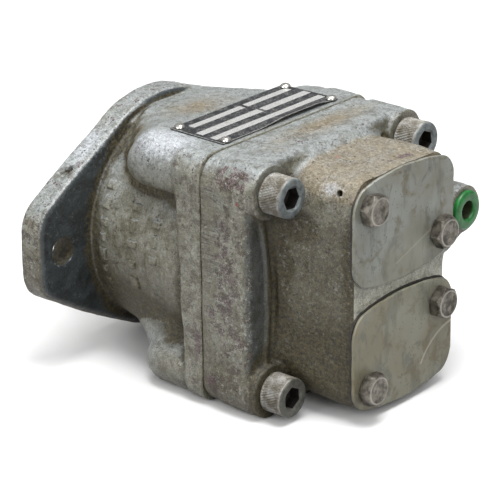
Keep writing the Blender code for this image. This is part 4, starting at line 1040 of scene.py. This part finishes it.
def paint_cover(obj, p, n):
    x, y, z = p.T
    side = np.abs(y)
    store(obj, "up", n[:, 2])
    # Around the screw pockets the brown of hollows is taken out, and their walls get painted shadow
    # below instead.
    pockets = spots(p, (1.6, (122.5, -37, 60), (9, 12, 9)), (1.6, (124.5, 34, 60), (9, 14, 9)))
    pockets = np.minimum(pockets, 0.75)
    hollow = np.empty(len(p), np.float32)
    for name in ("hollow", "crevice"):
        layer = obj.data.attributes[name].data
        layer.foreach_get("value", hollow)
        layer.foreach_set("value", hollow * (1.0 - pockets).astype(np.float32))
    # Painted shade in the recess inside the bead and on the walls of the screw pockets.
    recess = (x > 115.5) * (x < 121) * (side > 44)
    recess = recess * step(-np.abs(z), -46, -38) * step(n[:, 0], 0.1, 0.95)
    pocket_walls = pockets * 0.5 * step(-n[:, 2], -0.97, -0.8)
    store(obj, "painted_shade", np.maximum(recess * 0.8, pocket_walls))
    # Paler paint, with a painted highlight along the ridge at the cover's top.
    clean_and_lit = spots(
        p,
        (1.0, (119, -10, 62), (4, 60, 4)),
        (0.7, (121, -52, 56), (5, 14, 12)),
        (0.6, (104, -52, 60), (14, 20, 6)),
        (1.3, (118, -51, -38), (6, 8, 7)),
    )
    store(obj, "clean_and_lit", clean_and_lit)
    between = (x > 158.2) * step(-np.abs(z), -22, -18)
    store(obj, "bare", between)
    block_side = (y < -20) * (x > 119.5) * step(-z, -52, -30)
    # Dirt spots, with painted shade in the bead's recess, in the screw pockets, beside the plates' left
    # edges and low on the block's side.
    dirt = spots(
        p,
        (1.0, (121, -43.5, 0), (5, 5, 60)),
        (0.8, (124, -44, 12), (7, 8, 12)),
        (1.5, (128, -44, -46), (26, 18, 28)),
        (0.6, (118.2, -46.8, 0), (4, 4, 70)),
        (1.1, (122, -46, -34), (8, 8, 8)),
        (0.9, (134, -44, 34), (12, 10, 14)),
        (0.5, (157, -35, 12), (6, 8, 40)),
        (1.0, (156, -35, -40), (8, 8, 30)),
        (0.35, (122.5, -36, 58), (6, 7, 6)),
        (0.4, (126, 30, 58), (5, 9, 5)),
        (0.5, (118.5, -54, 30), (3, 8, 10)),
    )
    # Painted shade: darker towards the bottom, and a little on the left side.
    low = 0.55 * step(-z, 0, 50) + 0.3 * step(-z, 15, 55) * (x > 121) + 0.1 * (y < -58)
    strip = between * 0.9 - 0.5 * (x > 157.4) * (1 - between)
    store(obj, "grime_and_shade", dirt + 0.72 * block_side + low - strip + 0.45 * (y > 40) * (x > 130))
    rust = spots(
        p,
        (0.9, (116, -61, 36), (3, 3, 9)),
        (0.8, (117, -61, 22), (3, 3, 8)),
        (0.8, (115, -61.5, -20), (4, 3, 7)),
        (0.7, (156, -36, -44), (8, 8, 14)),
        (0.55, (155, 0, 57), (6, 40, 6)),
        (0.6, (125, -44, -20), (4, 8, 40)),
    )
    drain = 0.5 * (y > 38) * (x > 130)
    store(obj, "rust", np.maximum(rust, drain))
    top = 0.598 * step(z, 38, 50) * step(x, 120, 126) * step(-side, -42, -34)
    stain = spots(p, (0.75, (104, 10, 61.5), (18, 80, 5)), (0.5, (112, -30, 61.5), (8, 20, 4)))
    store(obj, "stain", np.maximum(top, stain) + 0.35 * drain)
    primer = spots(
        p,
        (1.0, (109, -60, 56), (22, 12, 12)),
        (0.62, (106, -61.5, 0), (24, 3, 110)),
        (0.9, (105, -61.5, 30), (10, 4, 14)),
        (0.75, (97, -61.5, -14), (6, 4, 13)),
        (0.8, (97, -61.5, -48), (9, 6, 12)),
        (0.7, (114, -61.5, -24), (5, 4, 14)),
        (0.65, (152, 10, 57), (8, 30, 6)),
        (0.6, (112, -20, 61.5), (8, 34, 4)),
        (0.55, (119, 20, 61.5), (5, 30, 4)),
    )
    store(obj, "primer", np.minimum(primer * 0.82, 0.47))
    # A whitish patch by the vent and a pale mark low on the left, and a painted highlight along the
    # ridge at the cover's top.
    white_and_highlight = spots(
        p,
        (1.0, (145, -36, 53), (13, 10, 9)),
        (0.6, (117, -58, -52), (6, 6, 10)),
        (0.5, (119, -10, 61.5), (2, 45, 2)),
    )
    store(obj, "white_and_highlight", white_and_highlight)
    wall = (y < -58) * (x < 119)
    wall = 0.95 * wall * step(x, 96, 104) + 0.4 * wall
    block = (0.55 - 0.4 * step(-z, -20, 40)) * (x > 121) * (z < 50)
    store(obj, "flaked", np.maximum(wall, block) + 0.4 * (z > 57))
    store(obj, "filed", (side > 59) * (1 - step(x, 98, 107)) * step(z, -30, 20))
    red = spots(p, (2.2, (113.4, -61.5, 45), (1.2, 1.5, 1.2)), (1.6, (131, -12, 57.5), (1.0, 1.2, 1.0)))
    store(obj, "red", red)


def paint_plate(obj, p, lower):
    x, y, z = p.T
    halo = spots(p, *[(0.9, (161, *place), (6, 13, 13)) for place in bolt_places(lower)])
    # Darker round the bolt heads, and painted shade along the back edge where the plate meets its
    # gasket.
    store(obj, "grime_and_shade", halo + (x < PLATE_BACK + 0.5) * 0.6)
    if lower:
        arc = np.abs(np.hypot(y - 40.0, z + 62.0) - 31.0)
        scratch = (1 - step(arc, 0.2, 0.9)) * (y < 37) * (z > -46) * (y > 10) * 0.9
        rust = spots(
            p,
            (0.75, (161, 35, -37), (4, 6, 10)),
            (0.6, (161, 34, -49), (4, 6, 8)),
            (0.5, (161, 6, -46), (4, 4, 9)),
        )
        pale = spots(p, (0.9, (161, -30, -8), (4, 14, 8)), (0.5, (161, 0, -14), (4, 40, 8)))
    else:
        rust = spots(p, (0.75, (161, -4, 55), (4, 30, 4)), (0.45, (161, -36, 30), (4, 3, 30)))
        pale = spots(p, (0.9, (161, 10, 14), (4, 40, 18)), (0.6, (161, -10, 6), (4, 30, 6)))
        arc = np.abs(z - 12.0 - 0.35 * (y + 4.0))
        scratch = (1 - step(arc, 0.2, 0.8)) * (y > -6) * (y < 22) * 0.5
    store(obj, "scratch", scratch)
    store(obj, "rust", rust)
    store(obj, "pale", pale)


# Assembly


def adopt(obj, nodes, body="casing", materials=()):
    for material in materials:
        obj.data.materials.append(material)
    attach(obj, body)
    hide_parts(*nodes)


def build_castings():
    low, high = (-9.7, -88.0, -BLOCK_HALF), (PARTING, 88.0, BLOCK_HALF)
    housing, p, n = field_piece("housing_casting", housing_field, low, high, 0.85)
    paint_housing(housing, p, n)
    look = cast_paint("worn_housing_paint", 3.0)
    adopt(housing, ["housing"], materials=[look])
    low, high = (COVER_FRONT, -64.0, -61.8), (PORT_FACE, 67.0, 61.8)
    cover, p, n = field_piece("rear_cover_casting", cover_field, low, high, 0.8)
    paint_cover(cover, p, n)
    look = cast_paint("worn_cover_paint", 41.0)
    adopt(cover, ["rear_cover"], materials=[look])


def build_ports():
    for lower, prefix in ((False, "upper"), (True, "lower")):
        centre = -PORT_Z if lower else PORT_Z
        low = (158.0, -38.5, centre - 30.0)
        high = (162.4, 38.5, centre + 30.0)
        name = f"{prefix}_blanking_plate"
        plate, p, _ = field_piece(name, plate_field(lower), low, high, 0.5, 0.5, 2.0)
        paint_plate(plate, p, lower)
        look = plate_paint(f"{prefix}_plate_paint", 12.0 if lower else 55.0, 0.0 if lower else 1.0)
        adopt(plate, [f"{prefix}_port_plate"], materials=[look])
        name = f"{prefix}_gasket"
        gasket = field_piece(name, gasket_field(lower), low, high, 0.45, 0.4, 1.0)[0]
        look = plain_finish(f"{name}_rubber", (34, 32, 30), (58, 54, 48), 0.65, 0.0, 2.0, 0.15)
        adopt(gasket, [f"{prefix}_port_gasket"], materials=[look])


def build_fasteners():
    side = knurl_look()
    painted = screw_face_look("painted_screw_face", (88, 94, 94), (120, 127, 128))
    grubby = screw_face_look("grubby_screw_face", (64, 64, 58), (96, 96, 88))
    socket = plain_finish("socket_shadow", (20, 18, 16), (34, 31, 28), 0.5, 0.4, 1.5)
    turns = (0.42, 0.15, 0.05, 0.3)
    corners = ((-1, 1), (1, 1), (-1, -1), (1, -1))
    for index, ((y, z), turn) in enumerate(zip(corners, turns), 1):
        screw = socket_screw(index, y * SCREW_Y, z * SCREW_Y, turn)
        looks = [side, grubby if index == 3 else painted, socket]
        adopt(screw, [f"cover_screw_{index}"], materials=looks)
    oxidised = bolt_look()
    turns = (0.32, 0.62, 0.1, 0.45)
    places = (*bolt_places(False), *bolt_places(True))
    for index, ((y, z), turn) in enumerate(zip(places, turns), 1):
        bolt = hex_bolt(index, y, z, turn)
        adopt(bolt, [f"plate_bolt_{index}"], materials=[oxidised])
    bright = plain_finish("bright_rivet", (176, 172, 164), (220, 218, 214), 0.16, 1.0, 1.2, 0.06)
    for index in range(1, 5):
        low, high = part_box(f"drive_screw_{index}")
        x = (low[0] + high[0]) / 2 / MM + HALF_LENGTH
        y = (low[1] + high[1]) / 2 / MM
        adopt(rivet(index, x, y), [f"drive_screw_{index}"], materials=[bright])


def build_small_pieces():
    adopt(name_plate(), ["name_plate"], materials=[name_plate_look()])
    face = DRAIN_FACE + 0.1
    profile = [(-10.3, 0.4), (-10.3, 6.0), (-9.5, 6.8), (0.0, 7.3), (0.0, 9.4), (0.6, 9.6)]
    profile += [(1.6, 9.5), (2.2, 9.0), (2.5, 8.2), (2.55, 6.4), (2.5, 5.4), (2.2, 4.8)]
    profile += [(1.6, 4.5), (-7.0, 4.1), (-8.0, 3.6), (-8.0, 0.4)]
    profile = [(face + x, radius) for x, radius in profile]
    plug = ringed("plastic_plug", lathe_rings(profile, 96, DRAIN_Y, DRAIN_Z))
    adopt(plug, ["drain_plug"], materials=[green_look()])


def build_shaft():
    ground = plain_finish("ground_shaft_steel", (150, 150, 150), (186, 186, 184), 0.24, 1.0, 4.0, 0.03)
    low, high = (-41.3, -12.6, -12.6), (114.0, 12.6, 12.6)
    shaft = field_piece("keyed_shaft", shaft_field, low, high, 0.6, 0.6, 2.0)[0]
    adopt(shaft, ["drive_shaft"], "rotor", [ground])
    low, high = (-8.8, -20.5, -20.5), (-7.6, 20.5, 20.5)
    snap = field_piece("snap_ring", snap_ring_field, low, high, 0.35, 0.4, 1.0)[0]
    spring = plain_finish("spring_steel", (70, 68, 66), (104, 100, 96), 0.3, 0.9, 2.0)
    adopt(snap, ["retaining_ring"], materials=[spring])
    profile = [(0.2, 18.7), (-6.3, 18.75), (-6.8, 18.3), (-6.8, 14.4), (-5.6, 13.2), (-5.0, 12.75)]
    profile += [(-3.9, 13.3), (-4.3, 16.0), (0.2, 16.4)]
    seal = closed_lathe("lip_seal", profile)
    rubber = plain_finish("seal_rubber", (24, 23, 22), (42, 40, 38), 0.5, 0.0, 2.0, 0.08)
    adopt(seal, ["shaft_seal"], materials=[rubber])


def dress_cad_nodes():
    """The inner pieces keep their CAD shapes and take finished materials."""
    steel = plain_finish("ground_steel_inner", (140, 140, 140), (178, 178, 176), 0.25, 1.0)
    gear = plain_finish("gear_steel_inner", (120, 120, 122), (156, 156, 158), 0.3, 1.0)
    bronze = plain_finish("bearing_bronze_inner", (168, 122, 66), (198, 152, 92), 0.32, 1.0)
    rubber = plain_finish("o_ring_rubber", (22, 22, 22), (38, 37, 36), 0.5, 0.0)
    looks = (
        (steel, "shaft_key", "pinion_key", "crescent_filler"),
        (steel, "crescent_pin", "dowel_pin_1", "dowel_pin_2"),
        (gear, "pinion_gear", "ring_gear"),
        (bronze, "front_bush", "rear_bush", "front_wear_plate", "rear_wear_plate"),
        (rubber, "cover_o_ring"),
    )
    for look, *names in looks:
        for name in names:
            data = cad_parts[name].data
            data.materials.clear()
            data.materials.append(look)


# Studio


def area_light(name, place, target_height, size, power):
    data = bpy.data.lights.new(name, "AREA")
    data.size = size
    data.energy = power
    obj = link(name, data)
    obj.location = place
    aim = Vector((0, 0, target_height)) - Vector(place)
    obj.rotation_euler = aim.to_track_quat("-Z", "Y").to_euler()


def studio():
    mesh = bpy.data.meshes.new("studio_floor")
    half = 12.0
    corners = [(-half, -half, 0), (half, -half, 0), (half, half, 0), (-half, half, 0)]
    mesh.from_pydata(corners, [], [(0, 1, 2, 3)])
    mesh.materials.append(floor_look())
    floor = link("studio_floor", mesh)
    world = bpy.data.worlds.new("studio_world")
    world.use_nodes = True
    tree = world.node_tree
    background = tree.nodes["Background"]
    direction = tree.nodes.new("ShaderNodeTexCoord")
    height = tree.nodes.new("ShaderNodeSeparateXYZ")
    ramp = tree.nodes.new("ShaderNodeMapRange")
    for key, value in {"From Min": -0.25, "From Max": 0.9, "To Min": 0.03, "To Max": 0.75}.items():
        ramp.inputs[key].default_value = value
    tree.links.new(direction.outputs["Generated"], height.inputs[0])
    tree.links.new(height.outputs[2], ramp.inputs["Value"])
    tree.links.new(ramp.outputs[0], background.inputs["Strength"])
    background.inputs["Color"].default_value = (1.0, 1.0, 1.0, 1.0)
    bpy.context.scene.world = world
    floor.visible_diffuse = False
    area_light("overhead_softbox", (0.25, -0.1, 1.45), 0.05, 0.8, 23.5)
    area_light("right_fill", (1.3, -0.9, 1.0), 0.06, 0.7, 8.0)
    area_light("left_fill", (-0.3, -1.8, 0.9), 0.06, 1.1, 13.5)


def camera():
    azimuth, elevation, roll = math.radians(41.03), math.radians(22.04), math.radians(-0.60)
    distance = 1.294
    target = Vector((0.0039, 0.0, 0.0537))
    level = math.cos(elevation)
    back = Vector((math.sin(azimuth) * level, -math.cos(azimuth) * level, math.sin(elevation)))
    level_right = (-back).cross(Vector((0, 0, 1))).normalized()
    level_up = level_right.cross(-back)
    right = level_right * math.cos(roll) + level_up * math.sin(roll)
    up = -level_right * math.sin(roll) + level_up * math.cos(roll)
    data = bpy.data.cameras.new("camera")
    data.sensor_width = 36.0
    data.lens = 2674.8 / 500 * 36.0
    data.clip_end = 100.0
    obj = link("camera", data)
    turn = Matrix((right, up, back)).transposed().to_4x4()
    obj.matrix_world = Matrix.Translation(target + back * distance) @ turn
    bpy.context.scene.camera = obj
    bpy.context.scene.view_settings.view_transform = "Standard"


build_castings()
build_ports()
build_fasteners()
build_small_pieces()
build_shaft()
dress_cad_nodes()
studio()
camera()
